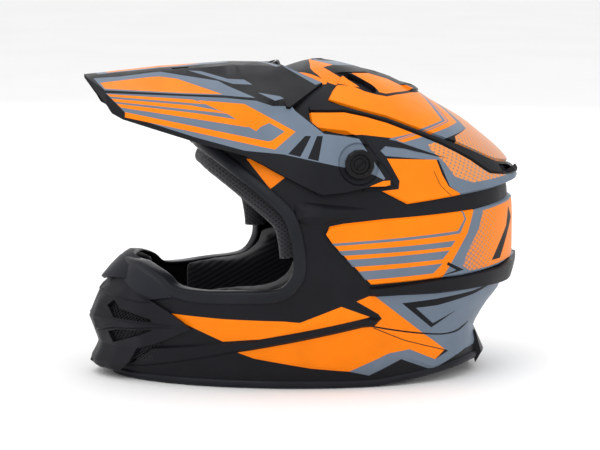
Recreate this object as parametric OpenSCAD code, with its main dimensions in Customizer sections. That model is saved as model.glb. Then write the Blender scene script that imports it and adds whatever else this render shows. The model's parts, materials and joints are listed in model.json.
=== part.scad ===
// Off-road motorcycle helmet: moulded shell with a chin bar, tilting peak, vents, liner, pads
// and a double-ring chin strap.
// The wearer faces -Y, the wearer's left is +X, and the helmet stands on the plane Z = 0.

/* [Shell] */
// Height of the shell from the rest plane to the crown
shell_height = 255; // [225:1:290]
// Width of the shell over its widest level
shell_width = 242; // [212:1:280]
// Length of the shell from the chin bar to the back of the head
shell_length = 338; // [300:1:385]
// Thickness of the moulded shell wall
shell_wall = 4; // [3:0.5:6]
// Thickness of the foam impact liner
liner_thickness = 28; // [20:1:36]
// Height of the raised ridges on the shell
ridge_height = 2.5; // [1:0.5:4]

/* [Eyeport] */
// Width of the rubber edging that frames the eyeport
trim_width = 6; // [4:0.5:8]
// Depth of the edging behind the outside of the shell
trim_depth = 9; // [7:0.5:12]

/* [Peak] */
// Thickness of the peak plate
peak_thickness = 3; // [2:0.5:4]
// Space between the peak and the shell
peak_gap = 3; // [2.5:0.5:5]
// Reach of the peak in front of the chin bar, at its tip
peak_reach = 11; // [-5:1:25]

/* [Screws] */
// Diameter of a peak screw head
screw_head_d = 24; // [18:1:28]
// Thickness of a peak screw head
screw_head_t = 3.5; // [2.5:0.5:5]
// Diameter of a peak screw stem
screw_stem_d = 6; // [5:0.5:8]
// Radial clearance around a screw stem
screw_clearance = 0.1; // [0.05:0.05:0.3]

/* [Chin vent] */
// Thickness of the chin vent cover
vent_wall = 3; // [2:0.5:4]
// Thickness of a vent mesh
mesh_thickness = 1.5; // [1:0.5:2.5]

/* [Padding] */
// Thickness of the crown pad
crown_pad_thickness = 8; // [5:1:12]
// Inside faces of the two cheek pads, measured from the middle
cheek_inner = 66; // [58:1:74]
// Space around every pad
pad_gap = 0.8; // [0.5:0.1:1.5]

/* [Chin strap] */
// Width of the strap webbing
strap_width = 24; // [18:1:28]
// Thickness of the strap webbing
strap_thickness = 2; // [1.5:0.5:3]
// Bar width of a strap ring
ring_bar = 4; // [3:0.5:5]

/* [Hidden] */

$fn = 48;
paint_black = "#26272b";
paint_orange = "#f08a12";
rubber = "#3a3b40";
foam = "#1d1d20";
cloth = "#2c2c30";
steel = "#b9bcc0";

// The shell's surface is a stack of level outlines. Each row gives the height, the front and
// rear reach, the half width, and the roundness of the front and rear halves of the outline.
design_height = 255;
design_width = 242;
design_length = 338;
levels = [
  [-20, -150, 136,  90, 1.80, 2.20],
  [  0, -155, 143,  98, 1.80, 2.20],
  [ 15, -159, 147, 104, 1.80, 2.20],
  [ 34, -161, 143, 109, 1.80, 2.20],
  [ 52, -160, 151, 113, 1.80, 2.25],
  [ 74, -155, 166, 117, 1.80, 2.30],
  [100, -141, 171, 121, 1.88, 2.30],
  [125, -122, 171, 121, 1.98, 2.30],
  [150, -108, 170, 117, 2.05, 2.25],
  [175,  -95, 161, 110, 2.10, 2.20],
  [200,  -81, 137,  98, 2.10, 2.15],
  [220,  -66, 104,  82, 2.05, 2.10],
  [235,  -45,  80,  64, 2.00, 2.05],
  [246,  -18,  53,  45, 2.00, 2.00],
  [252,    0,  32,  27, 2.00, 2.00],
  [255,   10,  14,   2, 2.00, 2.00]
];
stretch_x = shell_width / design_width;
stretch_y = shell_length / design_length;
stretch_z = shell_height / design_height;

// Middle of the level outlines, where the front and rear halves meet
outline_y = 18;
// How far the middle of the whole helmet's length lies behind the design's own zero
middle_y = 2.7;
// Height above which the inner surfaces close in towards the crown
dome_z = 120;
// Surfaces deeper than this are built from fewer rings and points
coarse_depth = 15;
fine_points = 48;
coarse_points = 32;
// Heights of the rings that the shell surface is built from
ring_levels = [-20, 0, 8, 15, 24, 34, 43, 52, 63, 74, 87, 100, 112, 125, 137, 150, 162, 175, 187, 200,
               210, 220, 228, 235, 241, 246, 249.5, 252, 254, 255];

last_level = len(levels) - 1;
function level_below(z, i = 0) = i >= last_level - 1 || z < levels[i + 1][0] ? i : level_below(z, i + 1);
function rise(i, k) = (levels[i + 1][k] - levels[i][k]) / (levels[i + 1][0] - levels[i][0]);
function slope(i, k) = i == 0 ? rise(0, k)
  : i == last_level ? rise(last_level - 1, k)
  : rise(i - 1, k) * rise(i, k) <= 0 ? 0
  : 2 * rise(i - 1, k) * rise(i, k) / (rise(i - 1, k) + rise(i, k));
function hermite(t, a, b, u, v) =
  (2 * t * t * t - 3 * t * t + 1) * a + (t * t * t - 2 * t * t + t) * u
  + (3 * t * t - 2 * t * t * t) * b + (t * t * t - t * t) * v;
// Value k of the level outline at height z
function profile(z, k, i) =
  let (h = levels[i + 1][0] - levels[i][0], t = (z - levels[i][0]) / h)
  hermite(t, levels[i][k], levels[i + 1][k], h * slope(i, k), h * slope(i + 1, k));
function outline(z, k) = profile(z, k, level_below(z));

// Half width of the shell's outside at side-view place p = [y, z], in the design's own size
function half_width(p) =
  let (front = p.x < outline_y,
       reach = front ? outline_y - outline(p.y, 1) : outline(p.y, 2) - outline_y,
       n = outline(p.y, front ? 4 : 5),
       t = min(1, abs(p.x - outline_y) / reach))
  outline(p.y, 3) * pow(1 - pow(t, n), 1 / n);

// A point of the design, moved to the chosen shell size
function along(y) = (y - middle_y) * stretch_y;
function place(p) = [p.x * stretch_x, along(p.y), p.z * stretch_z];
function side_place(p) = [along(p.x), p.y * stretch_z];
function plan_place(p) = [p.x * stretch_x, along(p.y)];

// Ring of the surface that lies depth inside the shell's outside
function dome_rise(z, depth) = z <= dome_z ? z * stretch_z
  : dome_z * stretch_z + (z - dome_z) * ((design_height - dome_z) * stretch_z - depth) / (design_height - dome_z);
function ring_point(z, depth, a) =
  let (front = sin(a) < 0,
       n = outline(z, front ? 4 : 5),
       reach = (front ? outline_y - outline(z, 1) : outline(z, 2) - outline_y) * stretch_y,
       cu = pow(abs(cos(a)), 2 / n) * sign(cos(a)),
       su = pow(abs(sin(a)), 2 / n) * sign(sin(a)))
  [max(0.5, outline(z, 3) * stretch_x - depth) * cu,
   along(outline_y) + max(0.5, reach - depth) * su,
   dome_rise(z, depth)];

// Foremost place at height z and half width x of the surface that lies depth inside the shell
function front_place(x, z, depth) =
  let (n = outline(z, 4),
       reach = (outline_y - outline(z, 1)) * stretch_y - depth,
       w = outline(z, 3) * stretch_x - depth)
  along(outline_y) - reach * pow(1 - pow(x / w, n), 1 / n);

// Rearmost place at height z and distance x from the middle, of the same surface
function back_place(x, z, depth) =
  let (n = outline(z, 5),
       reach = (outline(z, 2) - outline_y) * stretch_y - depth,
       w = outline(z, 3) * stretch_x - depth)
  along(outline_y) + reach * pow(1 - pow(abs(x) / w, n), 1 / n);

// Makes one smooth body of the free-form shapes inside it
module freeform() {
  resize([0, 0, 0]) union() { children(); }
}

// Everything inside the surface that lies depth inside the shell's outside
module skin(depth) {
  coarse = depth > coarse_depth;
  around = coarse ? coarse_points : fine_points;
  last = len(ring_levels) - 1;
  heights = [for (i = [0:last]) if (!coarse || i % 2 == 0 || i == last) ring_levels[i]];
  loft([for (z = heights) [for (i = [0:around - 1]) ring_point(z, depth, i * 360 / around)]]);
}

// Solid through closed loops of points, each with the same number of points
module loft(loops) {
  count = len(loops[0]);
  last = len(loops) - 1;
  sides = [for (r = [0:last - 1]) for (i = [0:count - 1])
    let (a = r * count + i, b = r * count + (i + 1) % count)
    each [[a, a + count, b], [b, a + count, b + count]]];
  ends = [[for (i = [0:count - 1]) i], [for (i = [count - 1:-1:0]) last * count + i]];
  polyhedron([for (loop = loops) each loop], concat(sides, ends), convexity = 8);
}

// The wall between two depths
module wall(outer_depth, inner_depth) {
  difference() {
    skin(outer_depth);
    skin(inner_depth);
  }
}

// A side-view outline [y, z] carried across the helmet between two X places
module across(outline_points, from_x, to_x, grow = 0) {
  translate([from_x, 0, 0])
    rotate([90, 0, 90])
      linear_extrude(to_x - from_x)
        offset(delta = grow)
          polygon([for (p = outline_points) side_place(p)]);
}

half_span = shell_width;
module all_across(outline_points, grow = 0) {
  across(outline_points, -half_span, half_span, grow);
}

// The same shape on both sides of the helmet
module both_sides() {
  children();
  mirror([1, 0, 0]) children();
}

module on_side(side) {
  if (side < 0) mirror([1, 0, 0]) children();
  else children();
}

// Eyeport outline, from the nose round the lower rim and up to the brow
eyeport = [[-220, 93], [-138, 93], [-123, 86], [-114, 77], [-94, 75], [-42, 77], [-30, 81], [-22, 92],
           [-20.5, 104], [-22, 118], [-27, 137], [-38, 150], [-64, 172], [-88, 190], [-220, 192]];

/* Shell */
spoiler = [[96, 221], [128, 204.5], [150, 187.5], [173, 165], [182, 156.5], [181, 151], [168, 141],
           [150, 146], [136, 163], [120, 184]];
spoiler_reach = 12;
upper_ridge = [[-9, 133], [36, 146], [65, 148], [120, 151], [178, 152], [160, 142], [121, 139], [4, 134]];
lower_ridge = [[20, 80], [114, 89], [180, 95], [180, 76], [88, 75], [36, 77]];
crown_ridge = [[8, 238], [20, 238], [66, 209], [104, 190], [136, 173], [152, 160], [136, 163],
               [104, 183], [66, 203], [34, 213], [3, 220]];
vent_top_plan = [[50, 24], [45, 32], [53, 50], [64, 52], [67, 42], [58, 28]];
vent_rear_side = [[138, 177], [160, 167], [158, 160], [141, 164]];
mouth_hole = [[-200, 32], [-200, 62], [-150, 62], [-150, 32]];
mouth_hole_half = 28;
shell_hem = 2;

module top_vent_column(side, grow) {
  on_side(side)
    translate([0, 0, dome_z])
      linear_extrude(design_height)
        offset(delta = grow)
          polygon([for (p = vent_top_plan) plan_place(p)]);
}

module rear_vent_column(side, grow) {
  on_side(side) across(vent_rear_side, 14, shell_width / 2, grow);
}

module outer_shell() {
  color(paint_orange)
    freeform()
      difference() {
        union() {
          skin(0);
          intersection() {
            skin(-ridge_height);
            union() {
              all_across(upper_ridge);
              all_across(crown_ridge);
            }
          }
          intersection() {
            skin(-ridge_height - 1.5);
            all_across(lower_ridge);
          }
          intersection() {
            translate([0, spoiler_reach, 0]) skin(0);
            all_across(spoiler);
          }
        }
        skin(shell_wall);
        all_across(eyeport);
        all_across([[-300, -60], [-300, shell_hem], [45, shell_hem], [100, 9], [137, 13], [137, 34],
                    [300, 34], [300, -60]]);
        for (side = [-1, 1]) {
          top_vent_column(side, 0);
          rear_vent_column(side, 0);
        }
        across(mouth_hole, -mouth_hole_half, mouth_hole_half);
        screw_wells(socket_gap);
      }
}
outer_shell();

// Foam liner under the shell, open at the eyeport, the face and the neck
liner_gap = 0.6;
head_depth = shell_wall + liner_gap + liner_thickness;
liner_side = [[-130, 216], [-95, 206], [-47, 177], [-15, 151.5], [-11, 112], [50, 106], [78, 50], [220, 46],
              [220, 300], [-130, 300]];
module impact_liner() {
  color(foam)
    freeform()
      difference() {
        intersection() {
          wall(shell_wall + liner_gap, head_depth);
          all_across(liner_side);
        }
        for (side = [-1, 1]) {
          top_vent_column(side, 2);
          rear_vent_column(side, 2);
        }
        screw_wells(1);
      }
}
impact_liner();

// Foam block inside the chin bar
chin_side = [[-220, 10], [-220, 70], [-126, 70], [-98, 66], [-94, 10]];
filter_size = [60, 8, 30];
filter_z = 47;
filter_front = front_place(filter_size.x / 2, filter_z + filter_size.z / 2, shell_wall) + liner_gap;
filter_place = [0, filter_front + filter_size.y / 2, filter_z * stretch_z];
module chin_liner() {
  color(foam)
    freeform()
      difference() {
        intersection() {
          wall(shell_wall + liner_gap, head_depth - 4);
          all_across(chin_side);
        }
        translate(filter_place)
          cube([filter_size.x + 2, filter_size.y + 26, filter_size.z + 2], center = true);
      }
}
chin_liner();

// Foam breath filter behind the mouth opening
module breath_filter() {
  color(foam)
    translate(filter_place)
      cube(filter_size, center = true);
}
breath_filter();

// Rubber edging that grips the eyeport edge of the shell
edging_gap = 0.2;
edging_lip = 1.3;
module eyeport_trim() {
  color(rubber)
    freeform()
      difference() {
        intersection() {
          wall(-edging_lip, trim_depth);
          all_across(eyeport, 1.5);
          all_across([[-137, 0], [-137, 300], [60, 300], [60, 0]]);
        }
        all_across(eyeport, -trim_width + 1.5);
        difference() {
          wall(-edging_gap, shell_wall + edging_gap);
          all_across(eyeport, -edging_gap);
        }
      }
}
eyeport_trim();

// Rubber roll round the neck opening; its flat underside is what the helmet stands on
hem_height = 7;
module neck_trim() {
  color(rubber)
    freeform()
      difference() {
        intersection() {
          wall(-edging_lip, trim_depth);
          all_across([[-135, 0], [46, 0], [101, 7], [128, 10.5], [128, 10.5 + hem_height],
                      [100, 7 + hem_height], [45, hem_height], [-135, hem_height]]);
        }
        difference() {
          wall(-edging_gap, shell_wall + edging_gap);
          all_across([[-300, -60], [-300, shell_hem - edging_gap], [45, shell_hem - edging_gap],
                      [100, 9 - edging_gap], [137, 13 - edging_gap], [300, 13], [300, -60]]);
        }
      }
}
neck_trim();

// Flared plastic piece at the nape, under the rear edge of the shell
nape_half = 44;
nape_steps = 6;
nape_front = 137.3;
// Height and depth of the corners of its cross section: outer side up, then inner side down
nape_outer = [[6, -2], [15, -5], [33.6, -0.5]];
nape_inner = [[33.6, 5.5], [20, 5.5], [11, 5.5]];
nape_least = 1;
module rear_neck_piece() {
  stations = [for (i = [-nape_steps:nape_steps])
    let (x = i / nape_steps * nape_half * stretch_x)
    concat(
      [for (p = nape_outer) [x, max(back_place(x, p.x, p.y), along(nape_front) + nape_least), p.x * stretch_z]],
      [for (p = nape_inner) [x, max(back_place(x, p.x, p.y), along(nape_front)), p.x * stretch_z]])];
  color(paint_black)
    freeform()
      loft(stations);
}
rear_neck_piece();

/* Chin vent */
// Front reach of the cover at each height
vent_front = [[4, -166], [10, -175], [25, -167], [47, -175], [69, -166], [76, -158], [90, -150]];
vent_rear_y = -100;
vent_side = [[-200, 80], [-146, 80], [-140, 73], [-118, 60], [-101, 47], [-141, 27], [-154, 5], [-200, 5]];
upper_slot = [[-164, 59], [-157, 65], [-153, 58], [-131, 52], [-130, 49], [-145, 49], [-158, 51]];
lower_slot = [[-166, 38], [-161, 43], [-128, 44], [-159, 30]];
slot_inner_x = 9;

function vent_loop(z, y, depth) =
  let (half = [[0, y], [14, y + 1.5], [33, y + 13], [58, y + 34], [half_width([vent_rear_y, z]) + 4, vent_rear_y]],
       moved = [for (p = half) [(p.x == 0 ? 0 : p.x - depth) * stretch_x,
                                along(p.y) + (p.y == vent_rear_y ? 0 : depth), z * stretch_z]])
  concat([for (i = [4:-1:1]) [-moved[i].x, moved[i].y, moved[i].z]], moved);
module vent_body(depth) {
  loft([for (r = vent_front) vent_loop(r.x, r.y, depth)]);
}

module vent_slots(grow) {
  both_sides()
    for (slot = [upper_slot, lower_slot])
      across(slot, slot_inner_x - grow, 90, grow);
}

module mouth_vent() {
  color(paint_black)
    freeform()
      difference() {
        intersection() {
          vent_body(0);
          all_across(vent_side);
        }
        intersection() {
          vent_body(vent_wall);
          all_across(vent_side, -vent_wall);
        }
        skin(-0.4);
        vent_slots(0);
      }
}
mouth_vent();

module mouth_vent_mesh() {
  color(paint_black)
    freeform()
      intersection() {
        difference() {
          vent_body(vent_wall + 0.3);
          vent_body(vent_wall + 0.3 + mesh_thickness);
          skin(-0.6);
        }
        vent_slots(1);
        all_across(vent_side, -vent_wall - 0.4);
      }
}
mouth_vent_mesh();

// Nose deflector: a pointed plate that runs over the top of the chin bar
guard_half = 44;
guard_steps = 8;
guard_top = [-141, 101];
guard_reach = [24, 22];
module nose_guard() {
  stations = [for (i = [-guard_steps:guard_steps])
    let (u = i / guard_steps, x = u * guard_half, back = 0.011 * x * x, drop = 0.007 * x * x, taper = 1 - abs(u) * 0.55)
    [[x, guard_top.x + back, guard_top.y - drop],
     [x, guard_top.x - guard_reach.x * taper + back, guard_top.y - guard_reach.y * taper - drop],
     [x, guard_top.x - guard_reach.x * taper + back + 3, guard_top.y - guard_reach.y * taper - drop - 2.5],
     [x, guard_top.x + back + 1, guard_top.y - drop - 4.5]]];
  color(rubber)
    freeform()
      difference() {
        loft([for (s = stations) [for (i = [3:-1:0]) place(s[i])]]);
        skin(-0.4);
        wall(-edging_lip - 0.3, trim_depth + 0.3);
        intersection() {
          vent_body(-0.5);
          all_across(vent_side, 2.6);
        }
      }
}
nose_guard();

/* Vents and side panels */
module top_vent(side) {
  color(paint_black)
    freeform()
      intersection() {
        wall(0.4, shell_wall + 1);
        top_vent_column(side, -0.3);
      }
}
top_vent(1);  // top_vent_left
top_vent(-1);  // top_vent_right

module rear_vent(side) {
  color(paint_black)
    freeform()
      intersection() {
        wall(0.4, shell_wall + 1);
        rear_vent_column(side, -0.3);
      }
}
rear_vent(1);  // rear_vent_left
rear_vent(-1);  // rear_vent_right

blade_side = [[34.5, 201], [39, 200.5], [60, 196], [102, 181], [67, 190], [51, 192.5], [46.5, 189],
              [60, 164], [58, 161], [55, 165], [55.5, 168.5], [33.5, 199]];
blade_thickness = 2.4;
module side_blade(side) {
  color(paint_black)
    freeform()
      intersection() {
        wall(-blade_thickness - 0.3, -0.3);
        on_side(side) across(blade_side, 0, half_span);
      }
}
side_blade(1);  // side_blade_left
side_blade(-1);  // side_blade_right

/* Peak */
pivot_side = [28, 180];
pivot = place([0, pivot_side.x, pivot_side.y]);
pivot_skin_x = half_width(pivot_side) * stretch_x;
// Place of the seat under a side screw's head
pivot_face_x = pivot_skin_x + 8.5;
seat_r = screw_head_d / 2 + 0.6;
boss_r = seat_r + 2.4;
boss_rim = 1.2;
stem_length = 16;
ear_side = [[-40, 180], [-6, 157], [-1, 157], [36, 163], [53, 168], [31, 198], [25, 201], [4, 204],
            [-19, 220], [-40, 228]];
tongue_plan = [[0, -32], [0, -20], [22, -17], [58, 8], [76, -2], [80, -18], [80, -32]];

// Upper surface of the visor: each row runs from the middle line out to the lower edge
visor_rows = [
  [[0, -176, 244], [20, -169, 242], [47, -164, 234], [62, -152, 213]],
  [[0, -116, 250], [22, -112, 248], [60, -104, 231], [80,  -98, 196]],
  [[0,  -57, 253], [24,  -56, 252], [72,  -58, 229], [96,  -58, 185]],
  [[0,  -24, 252], [24,  -24, 250], [79,  -24, 223], [109, -24, 178]]
];
module visor() {
  sections = [for (row = visor_rows)
    let (top = [for (p = row) [p.x * stretch_x,
                               along(p.y) - (p == visor_rows[0][0] ? peak_reach - 11 : 0),
                               p.z * stretch_z]],
         under = [for (i = [3:-1:0]) top[i] - [i == 3 ? 2 : i, 0, peak_thickness + (i == 3 ? 1 : 0)]])
    concat([for (i = [3:-1:1]) [-top[i].x, top[i].y, top[i].z]], top, under,
           [for (i = [2:-1:0]) [-under[i].x, under[i].y, under[i].z]])];
  loft(sections);
}

module pivot_place(x) {
  both_sides()
    translate([x, pivot.y, pivot.z])
      rotate([0, 90, 0]) children();
}

module peak() {
  color(paint_black)
    difference() {
      freeform()
        difference() {
          union() {
            visor();
            intersection() {
              wall(-peak_gap - peak_thickness, -peak_gap);
              union() {
                all_across(ear_side);
                both_sides()
                  translate([0, 0, dome_z])
                    linear_extrude(design_height)
                      polygon([for (p = tongue_plan) plan_place(p)]);
              }
            }
            pivot_place(pivot_skin_x - boss_r / 2)
              cylinder(h = pivot_face_x - pivot_skin_x + boss_r / 2 + boss_rim, r = boss_r);
          }
          skin(-peak_gap);
        }
      pivot_place(pivot_face_x) cylinder(h = 20, r = seat_r);
      pivot_place(pivot_face_x - 40) cylinder(h = 80, d = screw_stem_d + 2 * screw_clearance);
      center_screw_place() {
        cylinder(h = 30, r = center_head_r + peak_swing);
        translate([0, 0, -20]) linear_extrude(40) {
          square([screw_stem_d + 1, 2 * peak_swing], center = true);
          for (s = [-1, 1]) translate([0, s * peak_swing]) circle(d = screw_stem_d + 1);
        }
      }
    }
}
peak();

// The middle screw stands square to the crown and holds the peak's tongue through a slot
center_screw = place([0, -24, 243]);
center_lean = 22;
center_head_r = 8;
// Slack under the middle screw's head, taken up when it is tightened
center_slack = 2.6;
// Travel of the tongue either way at the middle screw
peak_swing = 6.5;
module center_screw_place(rise = peak_gap + peak_thickness) {
  translate(center_screw)
    rotate([center_lean, 0, 0])
      translate([0, 0, rise]) children();
}
module screw(head_r) {
  difference() {
    union() {
      cylinder(h = screw_head_t, r = head_r);
      translate([0, 0, -stem_length]) cylinder(h = stem_length + 0.5, d = screw_stem_d);
    }
    translate([0, 0, screw_head_t]) cube([head_r * 1.3, 2, 2.4], center = true);
  }
}

module peak_screw(side) {
  color("#1b1b1e")
    on_side(side)
      translate([pivot_face_x + 0.2, pivot.y, pivot.z])
        rotate([0, 90, 0]) screw(screw_head_d / 2);
}
peak_screw(1);  // peak_screw_left
peak_screw(-1);  // peak_screw_right

module peak_screw_center() {
  color("#1b1b1e") center_screw_place(peak_gap + peak_thickness + center_slack) screw(center_head_r);
}
peak_screw_center();

// Metal sockets in the shell that the peak screws turn in
socket_r = 7;
socket_depth = 16;
socket_gap = 0.2;
module side_socket_place(side) {
  on_side(side)
    translate([pivot_skin_x, pivot.y, pivot.z])
      rotate([0, 90, 0]) children();
}
// How far the shell falls away at the upper edge of a side socket
socket_fall = pivot_skin_x - half_width(pivot_side + [0, socket_r]) * stretch_x;
module socket() {
  difference() {
    translate([0, 0, -socket_depth]) cylinder(h = socket_depth - socket_fall + peak_gap - 0.8, r = socket_r);
    translate([0, 0, -10]) cylinder(h = 20, d = screw_stem_d + 2 * screw_clearance);
  }
}
module screw_socket(side) {
  color(steel) side_socket_place(side) socket();
}
screw_socket(1);  // screw_socket_left
screw_socket(-1);  // screw_socket_right

module center_socket_place() {
  center_screw_place(0) children();
}
module screw_socket_center() {
  color(steel) center_socket_place() socket();
}
screw_socket_center();

// Holes that the sockets sit in
module screw_wells(space) {
  for (side = [-1, 1])
    side_socket_place(side)
      translate([0, 0, -socket_depth - 1]) cylinder(h = 40, r = socket_r + space);
  center_socket_place()
    translate([0, 0, -socket_depth - 1]) cylinder(h = 40, r = socket_r + space);
}

/* Padding */
pad_depth = head_depth + pad_gap;
crown_side = [[-130, 232], [-95, 210], [-47, 182], [-16, 157], [50, 122], [80, 96], [220, 96],
              [220, 300], [-130, 300]];
module crown_pad() {
  color(cloth)
    freeform()
      intersection() {
        wall(pad_depth, pad_depth + crown_pad_thickness);
        all_across(crown_side);
      }
}
crown_pad();

brow_side = [[-110, 190], [-88, 188], [-64, 170], [-40, 149], [-29, 139], [-17, 149], [-47, 173.5],
             [-95, 203], [-110, 203]];
module brow_pad() {
  color(cloth)
    freeform()
      intersection() {
        wall(trim_depth + pad_gap, pad_depth + crown_pad_thickness);
        all_across(brow_side);
      }
}
brow_pad();

cheek_side = [[-88, 14], [8, 10], [8, 103], [-17, 103], [-19, 95], [-28, 86], [-44, 81], [-88, 79]];
module cheek_pad(side) {
  color(cloth)
    freeform()
      intersection() {
        skin(trim_depth + pad_gap);
        on_side(side) across(cheek_side, cheek_inner, half_span);
      }
}
cheek_pad(1);  // cheek_pad_left
cheek_pad(-1);  // cheek_pad_right

roll_side = [[62, 16], [125, 18], [200, 18], [200, 43], [62, 43]];
module neck_roll() {
  color(cloth)
    freeform()
      intersection() {
        wall(trim_depth + pad_gap, head_depth + 4);
        all_across(roll_side);
      }
}
neck_roll();

/* Chin strap */
// The strap hangs from a plate on each side and is closed by two rings under the jaw
hang_side = [30, 82];
hang = place([0, hang_side.x, hang_side.y]);
plate_t = 1.6;
rivet_r = 3;
rivet_gap = 0.05;
strap_top = 74;
strap_low = 11;
strap_bend = 30;
ring_height = 3;
ring_outer_half = strap_width / 2 + ring_bar + 2;
ring_step = ring_height + 1;
ring_base = strap_low + 4;
ring_right = 58;
loop_gap = 0.5;
// The strap hangs clear of the narrowest part of the shell that it passes
strap_pass = [hang_side.x + strap_width / 2 + 10, 40];
strap_x = half_width(strap_pass) * stretch_x - shell_wall - 3;
hang_x = strap_x + plate_t + strap_thickness / 2 + 0.3;

// Points of an arc in the strap's own plane
function bend(center, r, from, to, steps = 6) =
  [for (i = [0:steps]) let (a = from + (to - from) * i / steps) center + r * [cos(a), sin(a)]];
function unit(v) = v / norm(v);
function heading(path, i) =
  unit(path[min(i + 1, len(path) - 1)] - path[max(i - 1, 0)]);
function side_shift(path, i, d) = let (h = heading(path, i)) path[i] + d * [-h.y, h.x];

// Flat webbing that follows a path in the XZ plane
module webbing(path) {
  last = len(path) - 1;
  translate([0, hang.y + strap_width / 2, 0])
    rotate([90, 0, 0])
      linear_extrude(strap_width)
        polygon([for (i = [0:last]) side_shift(path, i, strap_thickness / 2),
                 for (i = [last:-1:0]) side_shift(path, i, -strap_thickness / 2)]);
}

left_low = ring_base - loop_gap - strap_thickness / 2;
left_path = concat([[strap_x, strap_top]],
                   bend([strap_x - strap_bend, left_low + strap_bend], strap_bend, 0, -90, 12),
                   [[ring_right - 2, left_low]]);
loop_outer = [ring_right - ring_bar - loop_gap - strap_thickness, ring_base - loop_gap - strap_thickness];
loop_size = [ring_bar + 2 * (loop_gap + strap_thickness),
             ring_step + ring_height + 2 * (loop_gap + strap_thickness)];
module strap_left() {
  color(cloth) {
    difference() {
      union() {
        webbing(left_path);
        strap_loop_block(0);
      }
      strap_loop_block(strap_thickness);
    }
  }
}
module strap_loop_block(inset) {
  translate([loop_outer.x + inset, hang.y - strap_width / 2 - inset, loop_outer.y + inset])
    cube([loop_size.x - 2 * inset, strap_width + 2 * inset, loop_size.y - 2 * inset]);
}
strap_left();

riser_x = loop_outer.x - 5;
fold_top = ring_base + ring_step + ring_height + 2;
upper_left = 30;
drop_x = upper_left - 3;
tail_z = strap_low + strap_thickness + 0.4;
turn = 2.5;
right_path = concat(
  [[-strap_x, strap_top]],
  bend([-strap_x + strap_bend, strap_low + strap_bend], strap_bend, 180, 270, 12),
  bend([riser_x - turn, strap_low + turn], turn, -90, 0),
  bend([riser_x - turn, fold_top - turn], turn, 0, 90),
  bend([drop_x + turn, fold_top - turn], turn, 90, 180),
  bend([drop_x - turn, tail_z + turn], turn, 0, -90),
  [[-30, tail_z]]);
module strap_right() {
  color(cloth) webbing(right_path);
}
strap_right();

module strap_hanger(side) {
  color(steel)
    on_side(side)
      translate([hang_x - plate_t, hang.y, 0])
        rotate([90, 0, 90])
          linear_extrude(plate_t)
            difference() {
              union() {
                translate([0, hang.z]) circle(r = 8);
                translate([-8, strap_top - 4]) square([16, hang.z - strap_top + 4]);
                translate([-strap_width / 2 - 3, strap_top - 16]) square([strap_width + 6, 14]);
              }
              translate([0, hang.z]) circle(r = rivet_r + rivet_gap);
              translate([-strap_width / 2, strap_top - 12]) square([strap_width, 3]);
            }
}
strap_hanger(1);  // strap_hanger_left
strap_hanger(-1);  // strap_hanger_right

module strap_rivet(side) {
  color(steel) {
    freeform()
      intersection() {
        skin(shell_wall + 0.1);
        rivet_place(side) translate([0, 0, 0.15]) cylinder(h = 30, r = rivet_r + 3);
      }
    rivet_place(side) {
      translate([0, 0, -plate_t - 1]) cylinder(h = plate_t + 3, r = rivet_r);
      translate([0, 0, -plate_t - 2.15]) cylinder(h = 2, r = rivet_r + 2);
    }
  }
}
module rivet_place(side) {
  on_side(side)
    translate([hang_x, hang.y, hang.z])
      rotate([0, 90, 0]) children();
}
strap_rivet(1);  // strap_rivet_left
strap_rivet(-1);  // strap_rivet_right

// A ring is a flat frame with round corners and a straight bar on the left
module ring_plate(left, base) {
  corner = 8;
  translate([0, hang.y, base])
    linear_extrude(ring_height)
      difference() {
        rounded_frame(left, ring_right, ring_outer_half, corner);
        rounded_frame(left + ring_bar, ring_right - ring_bar, ring_outer_half - ring_bar, corner - ring_bar);
      }
}
module rounded_frame(left, right, half, corner) {
  translate([left + corner, -half]) square([right - left - corner, 2 * half]);
  translate([left, -half + corner]) square([right - left, 2 * (half - corner)]);
  for (s = [-1, 1]) translate([left + corner, s * (half - corner)]) circle(r = corner);
}
module strap_ring_lower() {
  color(steel) ring_plate(upper_left - 12, ring_base);
}
strap_ring_lower();

module strap_ring_upper() {
  color(steel) ring_plate(upper_left, ring_base + ring_step);
}
strap_ring_upper();
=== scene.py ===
import json
import math
from contextlib import contextmanager

import bmesh
import bpy
import numpy as np
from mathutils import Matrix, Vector
from mathutils.geometry import delaunay_2d_cdt


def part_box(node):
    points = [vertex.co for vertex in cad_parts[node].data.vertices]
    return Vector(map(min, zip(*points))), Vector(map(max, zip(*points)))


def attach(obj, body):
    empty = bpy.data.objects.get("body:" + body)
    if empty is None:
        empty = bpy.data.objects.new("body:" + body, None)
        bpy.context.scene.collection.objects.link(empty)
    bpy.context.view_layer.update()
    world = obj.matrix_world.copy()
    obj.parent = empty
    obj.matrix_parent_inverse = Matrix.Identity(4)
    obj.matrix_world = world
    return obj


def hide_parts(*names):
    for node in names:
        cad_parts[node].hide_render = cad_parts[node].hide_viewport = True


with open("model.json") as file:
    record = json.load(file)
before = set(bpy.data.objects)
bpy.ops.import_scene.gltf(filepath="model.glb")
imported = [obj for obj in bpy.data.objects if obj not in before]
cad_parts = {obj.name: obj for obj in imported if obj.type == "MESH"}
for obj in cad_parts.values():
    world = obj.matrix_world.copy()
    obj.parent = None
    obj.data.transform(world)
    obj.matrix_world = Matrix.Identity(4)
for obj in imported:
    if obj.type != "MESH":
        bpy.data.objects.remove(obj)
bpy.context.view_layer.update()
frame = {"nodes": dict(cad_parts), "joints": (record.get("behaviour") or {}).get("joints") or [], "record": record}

# Shapes are worked out in millimetres in the design's own frame and written in metres in the row frame.
MM = 0.001
MIDDLE_Y = 2.7
TAU = 2 * math.pi


def row(p):
    """Design millimetres to row-frame metres."""
    return Vector((p[0] * MM, (p[1] - MIDDLE_Y) * MM, p[2] * MM))


# ---- node materials

GLOSS = 0.14
# Scale of the grain in sprayed paint, then its depth and strength
PAINT_GRAIN = 1400
GRAIN = (0.00008, 0.35)


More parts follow.
